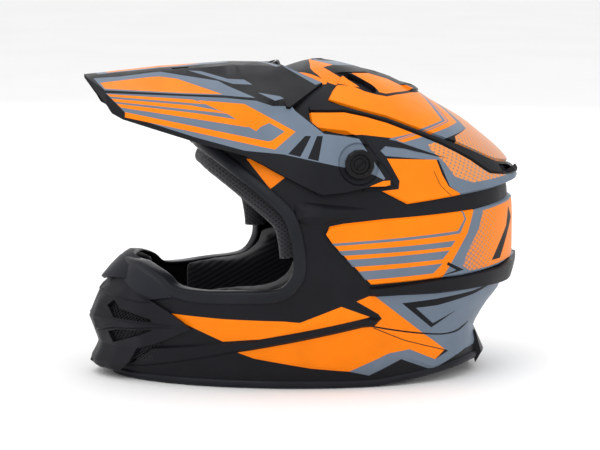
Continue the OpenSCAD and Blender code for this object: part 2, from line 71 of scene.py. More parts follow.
def new_material(name, color, roughness, sheen=0.0, metallic=0.0):
    m = bpy.data.materials.new(name)
    m.use_nodes = True
    n = m.node_tree.nodes
    b = n["Principled BSDF"]
    b.inputs["Base Color"].default_value = (*color, 1)
    b.inputs["Roughness"].default_value = roughness
    b.inputs["Metallic"].default_value = metallic
    b.inputs["Specular IOR Level"].default_value = 0.5 if metallic else GLOSS
    b.inputs["Sheen Weight"].default_value = sheen
    return m


class Nodes:
    """Short calls for wiring one material."""

    def __init__(self, m):
        self.t = m.node_tree
        self.bsdf = self.t.nodes["Principled BSDF"]

    def add(self, kind, **values):
        n = self.t.nodes.new(kind)
        for k, v in values.items():
            if hasattr(n, k):
                setattr(n, k, v)
            else:
                n.inputs[k.replace("_", " ")].default_value = v
        return n

    def link(self, a, b):
        self.t.links.new(a, b)

    def coords(self, scale=(1, 1, 1)):
        c = self.add("ShaderNodeTexCoord")
        m = self.add("ShaderNodeMapping")
        m.inputs["Scale"].default_value = scale
        self.link(c.outputs["Object"], m.inputs["Vector"])
        return m.outputs["Vector"]

    def noise(self, scale, detail=4, vector=None):
        n = self.add("ShaderNodeTexNoise")
        n.inputs["Scale"].default_value = scale
        n.inputs["Detail"].default_value = detail
        self.link(vector or self.coords(), n.inputs["Vector"])
        return n.outputs["Fac"]

    def ramp(self, fac, stops):
        r = self.add("ShaderNodeValToRGB")
        e = r.color_ramp.elements
        while len(e) < len(stops):
            e.new(0.5)
        for k, (at, c) in enumerate(stops):
            e[k].position = at
            e[k].color = (*c, 1)
        self.link(fac, r.inputs["Fac"])
        return r.outputs["Color"]

    def spread(self, fac, low, high, a, b):
        r = self.add("ShaderNodeMapRange")
        for k, v in zip(("From Min", "From Max", "To Min", "To Max"), (low, high, a, b)):
            r.inputs[k].default_value = v
        self.link(fac, r.inputs["Value"])
        return r.outputs["Result"]

    def math(self, op, a, b):
        n = self.add("ShaderNodeMath", operation=op)
        for k, v in enumerate((a, b)):
            if isinstance(v, (int, float)):
                n.inputs[k].default_value = v
            else:
                self.link(v, n.inputs[k])
        return n.outputs[0]

    def mix(self, fac, a, b):
        n = self.add("ShaderNodeMix", data_type="RGBA")
        self.link(fac, n.inputs[0])
        for k, v in ((6, a), (7, b)):
            if isinstance(v, tuple):
                n.inputs[k].default_value = (*v, 1)
            else:
                self.link(v, n.inputs[k])
        return n.outputs[2]

    def color(self, out):
        self.link(out, self.bsdf.inputs["Base Color"])

    def rough(self, out):
        self.link(out, self.bsdf.inputs["Roughness"])

    def bump(self, height, distance, strength=1.0):
        b = self.add("ShaderNodeBump")
        b.inputs["Distance"].default_value = distance
        b.inputs["Strength"].default_value = strength
        self.link(height, b.inputs["Height"])
        self.link(b.outputs["Normal"], self.bsdf.inputs["Normal"])


def worn(n, base, amount):
    """Small light and dark changes over a base colour."""
    tone = n.noise(38, 5)
    low = tuple(c * (1 - amount) for c in base)
    high = tuple(min(1, c * (1 + amount)) for c in base)
    return n.ramp(tone, [(0.3, low), (0.7, high)])


def paint(name, color, roughness=0.42, amount=0.06):
    m = new_material(name, color, roughness)
    n = Nodes(m)
    n.color(worn(n, color, amount))
    n.rough(n.spread(n.noise(60, 3), 0.3, 0.7, roughness - 0.05, roughness + 0.06))
    n.bump(n.noise(PAINT_GRAIN, 2), *GRAIN)
    return m


ORANGE = (0.90, 0.205, 0.0)
GREY = (0.135, 0.172, 0.225)
BLACK = (0.0065, 0.007, 0.0095)
PINK = (0.42, 0.30, 0.27)

orange = paint("orange_paint", ORANGE)
grey = paint("grey_paint", GREY)
black = paint("black_paint", BLACK, 0.46, 0.15)
line_black = paint("line_black", (0.006, 0.006, 0.008), 0.5, 0.1)


# Pitch in metres and turn in degrees of the printed dots
DOT_PITCH = 0.0031
DOT_TURN = 38


def halftone(name, y0, y1, r0, r1, ground0, ground1, dots):
    """Printed dots whose size changes along the helmet, over a ground that changes colour."""
    m = new_material(name, dots, 0.42)
    n = Nodes(m)
    c = n.add("ShaderNodeTexCoord")
    s = n.add("ShaderNodeSeparateXYZ")
    n.link(c.outputs["Object"], s.inputs[0])
    flat = n.add("ShaderNodeUVMap", uv_map="along_shell")
    turn = n.add("ShaderNodeMapping")
    turn.inputs["Rotation"].default_value = (0, 0, math.radians(DOT_TURN))
    turn.inputs["Scale"].default_value = (1 / DOT_PITCH, 1 / DOT_PITCH, 1)
    n.link(flat.outputs["UV"], turn.inputs["Vector"])
    v = n.add("ShaderNodeTexVoronoi", voronoi_dimensions="2D")
    v.inputs["Scale"].default_value = 1
    v.inputs["Randomness"].default_value = 0
    n.link(turn.outputs[0], v.inputs["Vector"])
    radius = n.spread(s.outputs["Y"], y0, y1, r0, r1)
    inside = n.math("LESS_THAN", v.outputs["Distance"], radius)
    ground = n.mix(n.spread(s.outputs["Y"], y0, y1, 0, 1), ground0, ground1)
    n.color(n.mix(inside, ground, dots))
    n.bump(n.noise(PAINT_GRAIN, 2), *GRAIN)
    return m


half_upper = halftone("upper_dots", 0.095, 0.175, 0.50, 0.36, (0.24, 0.20, 0.17), PINK, (0.78, 0.26, 0.06))
half_lower = halftone("lower_dots", 0.106, 0.158, 0.30, 0.66, (0.22, 0.20, 0.22), (0.60, 0.21, 0.06),
                      (0.86, 0.22, 0.01))


def plastic(name, color, roughness, grain=900, depth=0.00012):
    m = new_material(name, color, roughness)
    n = Nodes(m)
    n.color(worn(n, color, 0.18))
    n.rough(n.spread(n.noise(45, 4), 0.3, 0.7, roughness - 0.07, roughness + 0.07))
    n.bump(n.noise(grain, 3), depth, 0.5)
    return m


black_plastic = plastic("moulded_black", (0.008, 0.0085, 0.0115), 0.45)
rubber = plastic("trim_rubber", (0.011, 0.012, 0.016), 0.4, 1500, 0.00008)
guard_rubber = plastic("guard_rubber", (0.012, 0.013, 0.018), 0.36, 1500, 0.00008)
mesh_black = plastic("mesh_black", (0.028, 0.029, 0.033), 0.4)
screw_gloss = plastic("screw_gloss", (0.006, 0.006, 0.007), 0.22, 300, 0.0001)
inner_black = plastic("inner_black", (0.004, 0.004, 0.006), 0.8)


def metal(name, color, roughness):
    m = new_material(name, color, roughness, metallic=1.0)
    n = Nodes(m)
    n.color(worn(n, color, 0.06))
    streak = n.noise(90, 4, n.coords((1, 14, 1)))
    n.rough(n.spread(streak, 0.3, 0.7, roughness - 0.08, roughness + 0.1))
    n.bump(streak, 0.00005, 0.4)
    return m


steel = metal("socket_steel", (0.56, 0.56, 0.58), 0.32)
chrome = metal("ring_chrome", (0.78, 0.78, 0.80), 0.16)


def bead_foam(name, color):
    m = new_material(name, color, 0.75)
    n = Nodes(m)
    v = n.add("ShaderNodeTexVoronoi", feature="DISTANCE_TO_EDGE")
    v.inputs["Scale"].default_value = 320
    n.link(n.coords(), v.inputs["Vector"])
    n.color(n.ramp(v.outputs["Distance"], [(0.0, tuple(c * 0.45 for c in color)), (0.12, color)]))
    n.bump(v.outputs["Distance"], 0.0006, 0.8)
    return m


foam = bead_foam("bead_foam", (0.022, 0.022, 0.024))
open_foam = bead_foam("open_foam", (0.016, 0.016, 0.016))


def cloth(name, color, pitch, angle=45, depth=0.0005, plane="YZ", light=1.9, both_ways=True):
    """Woven or knitted cloth: two crossed sets of ridges of one pitch."""
    m = new_material(name, color, 0.85, sheen=0.25)
    n = Nodes(m)
    c = n.add("ShaderNodeTexCoord")
    waves = []
    for s in (1, -1) if both_ways else (1, 1):
        mp = n.add("ShaderNodeMapping")
        rot = {"YZ": (math.radians(s * angle), 0, 0), "XY": (0, 0, math.radians(s * angle))}[plane]
        mp.inputs["Rotation"].default_value = rot
        n.link(c.outputs["Object"], mp.inputs["Vector"])
        w = n.add("ShaderNodeTexWave", wave_type="BANDS", bands_direction="Y")
        w.inputs["Scale"].default_value = 0.314 / pitch
        w.inputs["Distortion"].default_value = 0.4
        w.inputs["Detail"].default_value = 1
        n.link(mp.outputs[0], w.inputs["Vector"])
        waves.append(w.outputs["Fac"])
    height = n.math("MAXIMUM", waves[0], waves[1])
    fuzz = n.math("MULTIPLY", n.noise(700, 3), 0.35)
    total = n.math("ADD", height, fuzz)
    low, high = tuple(k * 0.35 for k in color), tuple(min(1, k * light) for k in color)
    n.color(n.ramp(total, [(0.35, low), (1.0, high)]))
    n.bump(total, depth, 0.9)
    return m


mesh_cloth = cloth("mesh_cloth", (0.009, 0.009, 0.011), 0.0026, 52, light=2.4)
ribbed_cloth = cloth("ribbed_cloth", (0.007, 0.007, 0.009), 0.0037, 62, both_ways=False)
soft_cloth = cloth("soft_cloth", (0.011, 0.011, 0.014), 0.0016, 45, 0.0003)
webbing_cloth = cloth("webbing_cloth", (0.012, 0.012, 0.014), 0.0013, 45, 0.0004, "XY")


# ---- curves and the shell's surface

def smooth_table(xs, ys):
    """Monotone cubic through points."""
    xs, ys = np.array(xs, float), np.array(ys, float)
    h = np.diff(xs)
    d = np.diff(ys) / h
    m = np.zeros(len(xs))
    m[0], m[-1] = d[0], d[-1]
    for i in range(1, len(xs) - 1):
        m[i] = 0 if d[i - 1] * d[i] <= 0 else 2 * d[i - 1] * d[i] / (d[i - 1] + d[i])

    def at(x):
        x = np.clip(x, xs[0], xs[-1])
        i = np.clip(np.searchsorted(xs, x, "right") - 1, 0, len(xs) - 2)
        t = (x - xs[i]) / h[i]
        return ((2 * t**3 - 3 * t * t + 1) * ys[i] + (t**3 - 2 * t * t + t) * h[i] * m[i]
                + (3 * t * t - 2 * t**3) * ys[i + 1] + (t**3 - t * t) * h[i] * m[i + 1])
    return at


# height, front reach, rear reach, half width, front roundness, rear roundness
LEVELS = np.array([
    (-20, -150, 136, 90, 1.80, 2.20), (0, -155, 143, 98, 1.80, 2.20), (15, -159, 147, 104, 1.80, 2.20),
    (34, -161, 143, 109, 1.80, 2.20), (52, -160, 151, 113, 1.80, 2.25), (74, -155, 166, 117, 1.80, 2.30),
    (100, -141, 171, 121, 1.88, 2.30), (125, -122, 171, 121, 1.98, 2.30), (150, -108, 170, 117, 2.05, 2.25),
    (175, -95, 161, 110, 2.10, 2.20), (200, -81, 137, 98, 2.10, 2.15), (220, -66, 104, 82, 2.05, 2.10),
    (235, -45, 80, 64, 2.00, 2.05), (246, -18, 53, 45, 2.00, 2.00), (252, 0, 32, 27, 2.00, 2.00),
    (255, 10, 14, 2, 2.00, 2.00)])
FRONT, REAR, WIDE, ROUND_F, ROUND_R = (smooth_table(LEVELS[:, 0], LEVELS[:, k]) for k in range(1, 6))
# Place along the length where front and rear meet, foot and height of the crown, and mm per radian around
MID_Y = 18
DOME_Z = 120
CROWN = 135
AROUND = 100.0

_grid = np.linspace(-20, 255, 900)
_slant = np.concatenate([[0], np.cumsum(np.hypot(np.diff(_grid), np.diff(WIDE(_grid))))])


def up(z):
    return np.interp(z, _grid, _slant)


def down(v):
    return np.interp(v, _slant, _grid)


def shell_xyz(uv, out=0.0):
    """Points of the surface that lies out mm outside the shell, from its (around, up) places."""
    a, z = uv[:, 0] / AROUND, down(uv[:, 1])
    n = np.where(a < 0, ROUND_F(z), ROUND_R(z))
    reach = np.where(a < 0, MID_Y - FRONT(z), REAR(z) - MID_Y)
    cu = np.abs(np.cos(a)) ** (2 / n)
    su = np.abs(np.sin(a)) ** (2 / n) * np.sign(a)
    x = np.maximum(0.5, WIDE(z) + out) * cu
    y = MID_Y + np.maximum(0.5, reach + out) * su
    rise = np.where(z <= DOME_Z, z, DOME_Z + (z - DOME_Z) * (CROWN + out) / CROWN)
    return np.stack([x, y, rise], 1)


def shell_uv(yz):
    """(around, up) places of side-view points (y, z)."""
    yz = np.asarray(yz, float)
    y, z = yz[:, 0], yz[:, 1]
    front = y < MID_Y
    n = np.where(front, ROUND_F(z), ROUND_R(z))
    reach = np.where(front, MID_Y - FRONT(z), REAR(z) - MID_Y)
    t = np.clip(np.abs(y - MID_Y) / reach, 0, 1)
    a = np.arcsin(t ** (n / 2)) * np.where(front, -1, 1)
    return np.stack([a * AROUND, up(z)], 1)


def shell_x(y, z):
    return shell_xyz(shell_uv([(y, z)]))[0][0]


def shell_patch_xyz(uv, h):
    return np.array([shell_xyz(uv[k:k + 1], h[k])[0] for k in range(len(uv))])


# ---- flat outlines

def closed(points, step=6.0):
    """The outline's points with extra ones along its long edges."""
    pts = np.asarray(points, float)
    out = []
    for a, b in zip(pts, np.roll(pts, -1, 0)):
        k = max(1, int(math.ceil(np.linalg.norm(b - a) / step)))
        out += [a + (b - a) * i / k for i in range(k)]
    return np.array(out)


def curved(points, per=4, loop=True):
    """A smooth curve through the points (Catmull-Rom)."""
    p = np.asarray(points, float)
    n = len(p)
    out = []
    for i in range(n if loop else n - 1):
        if loop:
            p0, p1, p2, p3 = p[i - 1], p[i], p[(i + 1) % n], p[(i + 2) % n]
        else:
            p0, p1, p2, p3 = p[max(i - 1, 0)], p[i], p[i + 1], p[min(i + 2, n - 1)]
        for k in range(per):
            t = k / per
            out.append(0.5 * (2 * p1 + (p2 - p0) * t + (2 * p0 - 5 * p1 + 4 * p2 - p3) * t * t
                              + (3 * p1 - p0 - 3 * p2 + p3) * t**3))
    if not loop:
        out.append(p[-1])
    return np.array(out)


def inside(points, poly):
    """Which points lie in the outline."""
    x, y = points[:, 0][:, None], points[:, 1][:, None]
    x1, y1 = poly[:, 0][None], poly[:, 1][None]
    x2, y2 = np.roll(poly[:, 0], -1)[None], np.roll(poly[:, 1], -1)[None]
    cross = (y1 > y) != (y2 > y)
    at = x1 + (y - y1) * (x2 - x1) / np.where(y2 == y1, 1e-9, y2 - y1)
    return (np.sum(cross & (x < at), 1) % 2) == 1


def distance(points, poly):
    """Distance of each point to the outline's edges."""
    best = np.full(len(points), 1e9)
    for p, q in zip(poly, np.roll(poly, -1, 0)):
        d = q - p
        t = np.clip(((points - p) @ d) / max(d @ d, 1e-9), 0, 1)
        best = np.minimum(best, np.linalg.norm(points - p - t[:, None] * d, axis=1))
    return best


def inset(poly, d):
    """The outline moved inwards by d."""
    area = np.sum(poly[:, 0] * np.roll(poly[:, 1], -1) - np.roll(poly[:, 0], -1) * poly[:, 1])
    side = 1 if area > 0 else -1
    e = np.roll(poly, -1, 0) - poly
    e /= np.maximum(np.linalg.norm(e, axis=1), 1e-9)[:, None]
    nrm = side * np.stack([-e[:, 1], e[:, 0]], 1)
    both = nrm + np.roll(nrm, 1, 0)
    both /= np.maximum(np.linalg.norm(both, axis=1), 0.5)[:, None]
    keep = np.sum(both * nrm, 1)
    return poly + both * (d / np.maximum(keep, 0.5))[:, None]


def stroke(points, width):
    """Outline of a line of some width that tapers at neither end."""
    p = np.asarray(points, float)
    d = np.gradient(p, axis=0)
    d /= np.linalg.norm(d, axis=1)[:, None]
    s = np.stack([-d[:, 1], d[:, 0]], 1) * width / 2
    return np.concatenate([p + s, (p - s)[::-1]])


def circle(y, z, r, count=24):
    turns = [TAU * k / count for k in range(count)]
    return np.array([(y + r * math.cos(a), z + r * math.sin(a)) for a in turns])


# ---- meshes

def linked(name, mesh):
    o = bpy.data.objects.new(name, mesh)
    bpy.context.scene.collection.objects.link(o)
    return o


def shade_smooth(mesh):
    mesh.polygons.foreach_set("use_smooth", [True] * len(mesh.polygons))


@contextmanager
def edited(mesh):
    """The mesh as a bmesh, written back at the end."""
    bm = bmesh.new()
    bm.from_mesh(mesh)
    yield bm
    bm.to_mesh(mesh)
    bm.free()


def add_object(name, verts, faces, mats, slots=None):
    me = bpy.data.meshes.new(name)
    me.from_pydata([tuple(v) for v in verts], [], [tuple(f) for f in faces])
    for m in mats if isinstance(mats, (list, tuple)) else [mats]:
        me.materials.append(m)
    if slots is not None:
        me.polygons.foreach_set("material_index", np.asarray(slots, np.int32))
    shade_smooth(me)
    me.update()
    return linked(name, me)


def apply_all(o):
    bpy.context.view_layer.update()
    me = bpy.data.meshes.new_from_object(o.evaluated_get(bpy.context.evaluated_depsgraph_get()))
    old = o.data
    o.modifiers.clear()
    o.data = me
    bpy.data.meshes.remove(old)
    return o


def modifier(o, kind, **values):
    m = o.modifiers.new(kind, kind)
    for k, v in values.items():
        setattr(m, k, v)
    return m


def crease(o, degrees):
    o.data.set_sharp_from_angle(angle=math.radians(degrees))


def solid(o, thickness, inner_slot=0):
    """Gives a sheet its thickness, inwards."""
    modifier(o, "SOLIDIFY", thickness=thickness * MM, offset=-1, use_even_offset=False,
             material_offset=inner_slot, material_offset_rim=inner_slot)
    apply_all(o)


def outward(o):
    with edited(o.data) as bm:
        bmesh.ops.recalc_face_normals(bm, faces=bm.faces)
    return o


def mirrored(o, merge=0.06):
    """Adds the other side of the helmet and joins it along the middle."""
    with edited(o.data) as bm:
        for v in bm.verts:
            if abs(v.co.x) < merge * MM:
                v.co.x = 0
        geom = bm.verts[:] + bm.edges[:] + bm.faces[:]
        new = bmesh.ops.duplicate(bm, geom=geom)["geom"]
        for e in new:
            if isinstance(e, bmesh.types.BMVert):
                e.co.x = -e.co.x
        bmesh.ops.reverse_faces(bm, faces=[f for f in new if isinstance(f, bmesh.types.BMFace)])
        bmesh.ops.remove_doubles(bm, verts=[v for v in bm.verts if v.co.x == 0], dist=0.001 * MM)
    o.data.update()


def place(o, body):
    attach(o, body)


# A relief whose edge slopes over this many mm or more gets no mesh line along the top of the slope
WIDE_BEVEL = 4


class Patch:
    """A sheet cut to an outline, with painted areas, raised areas and holes that its mesh follows."""

    def __init__(self, to_uv, to_xyz, step=5.0):
        self.to_uv, self.to_xyz, self.step = to_uv, to_xyz, step
        self.paints, self.reliefs, self.holes, self.loops = [], [], [], []

    def uv(self, outline, smooth=0):
        pts = curved(outline, smooth) if smooth else closed(outline)
        return self.to_uv(pts)

    def paint(self, index, outline, smooth=0):
        p = self.uv(outline, smooth)
        self.paints.append((index, p))
        self.loops.append(p)

    def relief(self, outline, height, bevel, taper=None):
        p = self.uv(outline)
        self.reliefs.append((p, height, bevel, taper))
        self.loops.append(p)
        if bevel < WIDE_BEVEL:
            self.loops.append(inset(p, bevel))

    def hole(self, outline, smooth=0):
        p = self.uv(outline, smooth)
        self.holes.append(p)
        self.loops.append(p)

    def heights(self, uv):
        h = np.zeros(len(uv))
        for poly, height, bevel, taper in self.reliefs:
            lo, hi = poly.min(0) - 1, poly.max(0) + 1
            near = np.all((uv >= lo) & (uv <= hi), 1)
            if not near.any():
                continue
            q = uv[near]
            d = np.where(inside(q, poly), distance(q, poly), 0)
            k = height * np.clip(d / bevel, 0, 1)
            if taper is not None:
                k = k * taper(q)
            h[near] += k
        return h

    def build(self, name, domain, mats, floor=None):
        """The sheet inside the domain; floor gives heights to add to those of the reliefs."""
        loops = [domain] + self.loops
        lo, hi = domain.min(0), domain.max(0)
        gx = np.arange(lo[0] + self.step / 2, hi[0], self.step)
        gy = np.arange(lo[1] + self.step / 2, hi[1], self.step)
        grid = np.array([(x + (self.step / 2 if j % 2 else 0), y) for j, y in enumerate(gy) for x in gx])
        grid = grid[inside(grid, domain)]
        clear = np.min([distance(grid, loop) for loop in loops], axis=0)
        grid = grid[clear > self.step * 0.3]
        pts, edges = [Vector(p) for p in grid], []
        for loop in loops:
            k = len(pts)
            pts += [Vector(p) for p in loop]
            edges += [(k + i, k + (i + 1) % len(loop)) for i in range(len(loop))]
        verts, _, faces = delaunay_2d_cdt(pts, edges, [], 0, 1e-3)[:3]
        uv = np.array([tuple(v) for v in verts])
        faces = np.array([f for f in faces if len(f) == 3])
        mid = uv[faces].mean(1)
        keep = inside(mid, domain)
        for h in self.holes:
            keep &= ~inside(mid, h)
        area = np.abs(np.cross(uv[faces[:, 1]] - uv[faces[:, 0]], uv[faces[:, 2]] - uv[faces[:, 0]]))
        faces, mid = faces[keep & (area > 1e-5)], mid[keep & (area > 1e-5)]
        slots = np.zeros(len(faces), int)
        for index, poly in self.paints:
            lo, hi = poly.min(0), poly.max(0)
            near = np.where(np.all((mid >= lo) & (mid <= hi), 1))[0]
            hit = near[inside(mid[near], poly)]
            slots[hit] = index
        used = np.unique(faces)
        renum = np.full(len(uv), -1)
        renum[used] = np.arange(len(used))
        uv = uv[used]
        h = self.heights(uv)
        if floor is not None:
            h = h + floor(uv)
        xyz = self.to_xyz(uv, h)
        o = add_object(name, [row(p) for p in xyz], renum[faces], mats, slots)
        layer = o.data.uv_layers.new(name="along_shell")
        layer.data.foreach_set("uv", (uv[renum[faces].ravel()] * MM).astype(np.float32).ravel())
        return o


# ---- painted shell

EYEPORT = [(-136, 93), (-123, 86), (-113, 77.5), (-94, 75), (-66, 76), (-42, 77), (-30, 81), (-22, 92),
           (-20.5, 104), (-22, 118), (-27, 137), (-38, 150), (-64, 172), (-88, 190)]
PAINTS = [black, orange, grey, half_upper, half_lower, line_black, inner_black, guard_rubber]
# Short names for the places in PAINTS, in the same order
B_, O_, G_, HU, HL, LB, IN, GR = range(8)

# Chevron on the rear of the crown: upper end, tip and lower end of each line
CHEVRON = [((93, 226), (103, 207), (56, 197)), ((95.5, 225.5), (107, 206.3), (60, 195.8)),
           ((96.5, 225), (108.5, 206), (60.5, 195.3)), ((98, 224.5), (110, 205.6), (61, 194.8)),
           ((102, 223.5), (118, 204), (66, 193.5)), ((105, 222), (126, 199), (80, 189.5))]

shell = Patch(shell_uv, shell_patch_xyz, 5.5)

MAIN_RIDGE = [(-6, 221), (9, 225), (32, 218), (54, 212), (80, 202), (98, 195), (112, 190), (128, 182.5),
              (146, 173), (153, 169), (162, 166), (166, 162), (160, 160), (150, 162), (138, 165.5),
              (123, 177), (111, 184), (97, 191), (77, 199.5), (54, 208.5), (37, 213.5), (21, 217),
              (-6, 217)]
LIP = [(30, 158), (44, 158), (66, 147), (112, 151.5), (157, 154.5), (188, 156.5)]
UPPER_PANEL = LIP + [(188, 170), (166, 164), (150, 163), (138, 166), (123, 177.5), (111, 184.5), (97, 191.5),
                     (77, 200), (54, 209), (37, 214), (21, 217.5), (-6, 217.5), (-6, 205), (20, 202),
                     (30, 196)]
CROWN_PANEL = [(9, 225.5), (32, 218.5), (54, 212.5), (80, 202.5), (98, 195.5), (112, 190.5), (128, 183),
               (146, 173.5), (166, 167), (188, 171), (188, 220), (85, 231), (73, 234), (60, 240), (46, 244),
               (26, 245), (15, 233)]
SIDE_PANEL = [(3, 131), (12, 133.5), (47, 136.5), (114, 139.5), (155, 143), (190, 146), (190, 90),
              (160, 93.5), (149, 91), (114, 88.5), (95, 88), (35, 85), (5, 118), (-1, 126.5)]
LOW_RIDGE = [(35, 83), (59, 84.5), (95, 88), (114, 88.8), (149, 91), (160, 93.5), (190, 96), (190, 74),
             (128, 75.5), (91, 75), (60, 75.6), (35, 76)]
JAW_BAR = [(-152, 8), (-142, 16), (-128, 30), (-76, 37.5), (-49, 41), (9, 53), (37, 59), (47, 57), (40, 51),
           (31, 50.5), (-65, 29.5), (-130, 13)]
FACET = [(-22, 152), (-8, 150), (34, 145.6), (37, 144), (34, 142.4), (-10, 131), (-24, 137)]
CHIN_TOP = [(-158, 92), (-132, 101), (-112, 70.5), (-138, 64), (-147, 66), (-155, 76)]


def rearward(y0, y1, extra):
    """Grows a raised area towards the back of the helmet, from once to 1 + extra times its height."""
    def at(uv):
        y = shell_xyz(uv)[:, 1]
        t = np.clip((y - y0) / (y1 - y0), 0, 1)
        return 1 + extra * t * t
    return at


def lip_flare(uv):
    """The spoiler: the upper body stands out more and more towards its lower rear edge."""
    p = shell_xyz(uv)
    y, z = p[:, 1], p[:, 2]
    t = np.clip((y - 105) / 68, 0, 1) ** 1.6
    s = np.clip((198 - z) / 42, 0, 1) ** 1.4
    lip = np.interp(y, [66, 112, 157, 188], [147, 151.5, 154.5, 156.5])
    return 11.5 * t * s * np.clip((z - lip) / 2.0, 0, 1)


shell.relief(UPPER_PANEL, 2.2, 1.6)
shell.relief(CROWN_PANEL, 2.2, 1.6)
shell.relief(MAIN_RIDGE, 3.0, 1.3)
shell.relief(SIDE_PANEL, 1.8, 1.2, taper=rearward(140, 175, 1.2))
shell.relief(LOW_RIDGE, 3.0, 1.6, taper=rearward(70, 170, 1.4))
shell.relief(JAW_BAR, 2.6, 2.0)
shell.relief(FACET, 7.5, 9)
shell.paint(B_, [(-22, 152), (-8, 150), (34, 145.6), (37, 144.4), (-4, 144.4), (-22, 144.4)])
shell.relief([(-3, 246), (26, 246), (46, 245.5), (67, 241), (85, 232), (96, 226), (84, 228), (73, 234),
              (60, 240), (46, 244), (26, 245), (15, 247)], 1.6, 1.2)
shell.relief([(-64, 33), (-50, 44), (0, 60), (14, 70), (38, 60), (60, 46), (101, 37), (126, 44), (141, 34),
              (141, 24), (93, 10), (65, 22), (39, 9), (-57, 24)], 1.4, 3)

shell.paint(O_, [(-40, 160), (-24, 173), (-48, 182), (-56, 182)])
shell.paint(O_, [(-8, 246), (2, 245), (12, 240), (9, 238), (-3, 241), (-12, 244)], 3)
CROWN_GRAPHICS = [
    (G_, [(6, 255), (36, 252), (50, 248), (34, 250.5), (20, 251.5)]),
    (O_, [(6, 254.3), (12, 253.5), (22, 251.5), (13, 250), (39, 233.5), (30, 235), (20, 237), (14, 239),
         (10, 241), (3, 249)]),
    (O_, [(28, 245), (48, 243), (64, 238), (77, 232), (84, 229), (66, 229), (58, 228.6), (52, 230),
         (51, 232), (49, 234), (43, 238), (33, 244)]),
    (O_, [(20, 236), (31, 235), (40, 231), (49, 228.4), (58, 226.6), (66, 227.3), (82, 227.5), (93, 226),
         (103, 207), (80, 202), (54, 212), (32, 218), (10, 226), (15, 233)]),
    (HU, [(104, 223), (126, 199), (112, 195), (112, 190.5), (128, 183), (146, 173.5), (166, 167), (190, 168),
         (190, 190), (150, 210), (115, 226)]),
    (G_, [(44, 190), (50, 184), (94, 179), (102, 159), (112, 152), (157, 155), (188, 157), (188, 162),
         (160, 161), (149, 162.5), (138, 166), (111, 184.5), (98, 191.5), (79, 199.5), (56, 197),
         (47, 193)]),
    (HU, [(84, 196), (98, 191.5), (111, 184.5), (124, 177), (137, 167), (150, 163), (152, 161), (122, 160),
         (107, 166), (99, 177), (88, 187)]),
]
for index, outline in CROWN_GRAPHICS:
    shell.paint(index, outline)
for k in range(5):
    (u0, a0, l0), (u1, a1, l1) = CHEVRON[k], CHEVRON[k + 1]
    shell.paint(O_ if k in (1, 3) else G_, [u0, a0, l0, l1, a1, u1])
SIDE_GRAPHICS = [
    (O_, [(-6, 217.3), (21, 217), (37, 213.5), (54, 208.5), (77, 200), (56, 197), (33, 200), (28, 200),
         (17, 202), (5, 204), (-6, 204)]),
    (O_, [(51, 182), (92, 179.5), (96, 168), (101, 159), (112, 152), (66, 147.6), (46, 158), (59, 159),
         (60, 165)]),
    (LB, stroke([(89, 171), (94, 160), (103, 151.6)], 0.5)),
    (B_, MAIN_RIDGE[1:10] + [(163, 166)] + MAIN_RIDGE[11:] + [(-6, 222)]),
    (G_, [(122, 139.5), (155, 143), (190, 146), (190, 94), (160, 93.5), (149, 91), (114, 88.5), (95, 88),
         (117, 122)]),
    (HL, [(132, 138), (156, 140.5), (178, 142.5), (178, 95), (158, 94.5), (138, 92.5), (120, 91.5),
         (113, 96), (117, 107), (127, 123)]),
    (LB, [(160, 137), (164, 127), (150, 97), (141, 97), (157, 122)]),
    (LB, stroke([(48, 137.6), (13, 135), (2, 132.6), (-1.8, 127), (4.5, 118), (35, 84.6)], 1.8)),
    (O_, [(4, 132), (14, 134), (47, 136.8), (114, 139.5), (123, 139.8), (117, 122), (95, 88), (37, 85.4),
         (6.5, 118), (1, 126)]),
    (G_, [(5.5, 119), (108, 124.4), (114, 133), (112, 139.3), (113.4, 139.3), (115.8, 133), (110, 122.2),
         (7.5, 117)]),
    (G_, [(10.5, 113), (106, 117), (102.5, 112.3), (13.8, 109.3)]),
    (G_, [(17, 106), (101, 109.6), (95, 103), (21.8, 100.3)]),
    (G_, [(26.2, 96.6), (95, 99.7), (87, 92.3), (32, 89.6)]),
    (LB, [(99.5, 100.5), (114, 92.8), (92, 89.2), (107, 93.3), (98.5, 98.3)]),
    (G_, [(41, 75.3), (60, 75.6), (91, 75), (128, 75.5), (190, 74), (190, 40), (150, 34), (146, 22),
         (124, 23), (115, 19.5), (103, 26), (96, 30)]),
    (O_, [(26, 72), (36, 76), (41, 75.5), (72, 51), (103, 26), (94, 19), (71, 30), (54, 28), (22, 14),
         (-8, 17), (-52, 25), (-65, 29.5), (31, 50.5), (40, 51), (47, 57), (44, 61)]),
    (G_, [(22, 14), (39, 9.6), (65, 22), (93, 10), (115, 20), (108, 25), (94, 19), (71, 30), (54, 28)]),
    (O_, [(-122, 58.5), (-76, 56.5), (-30, 56), (-18, 55), (14, 68), (37, 59), (9, 53), (-49, 41),
         (-76, 38)]),
    (LB, [(63, 69), (91, 70.5), (126, 73.5), (155, 79), (126, 70.4), (94, 65), (75, 64.3), (91, 49.8),
         (112, 58.5), (90, 46.2)]),
    (LB, stroke(curved([(38, 51.5), (60, 46.5), (80, 42.5), (101, 39), (115, 39.5), (127, 45)], 4, False),
         1.3)),
    (LB, stroke([(40, 50), (66, 38), (103, 25.5)], 0.7)),
]
for index, outline in SIDE_GRAPHICS:
    shell.paint(index, outline)
shell.relief(CHIN_TOP, 2.0, 1.5)
shell.paint(GR, CHIN_TOP)
shell.paint(LB, stroke([(39, 9.2), (65, 21.6), (93, 9.6), (115, 19.6)], 0.8))

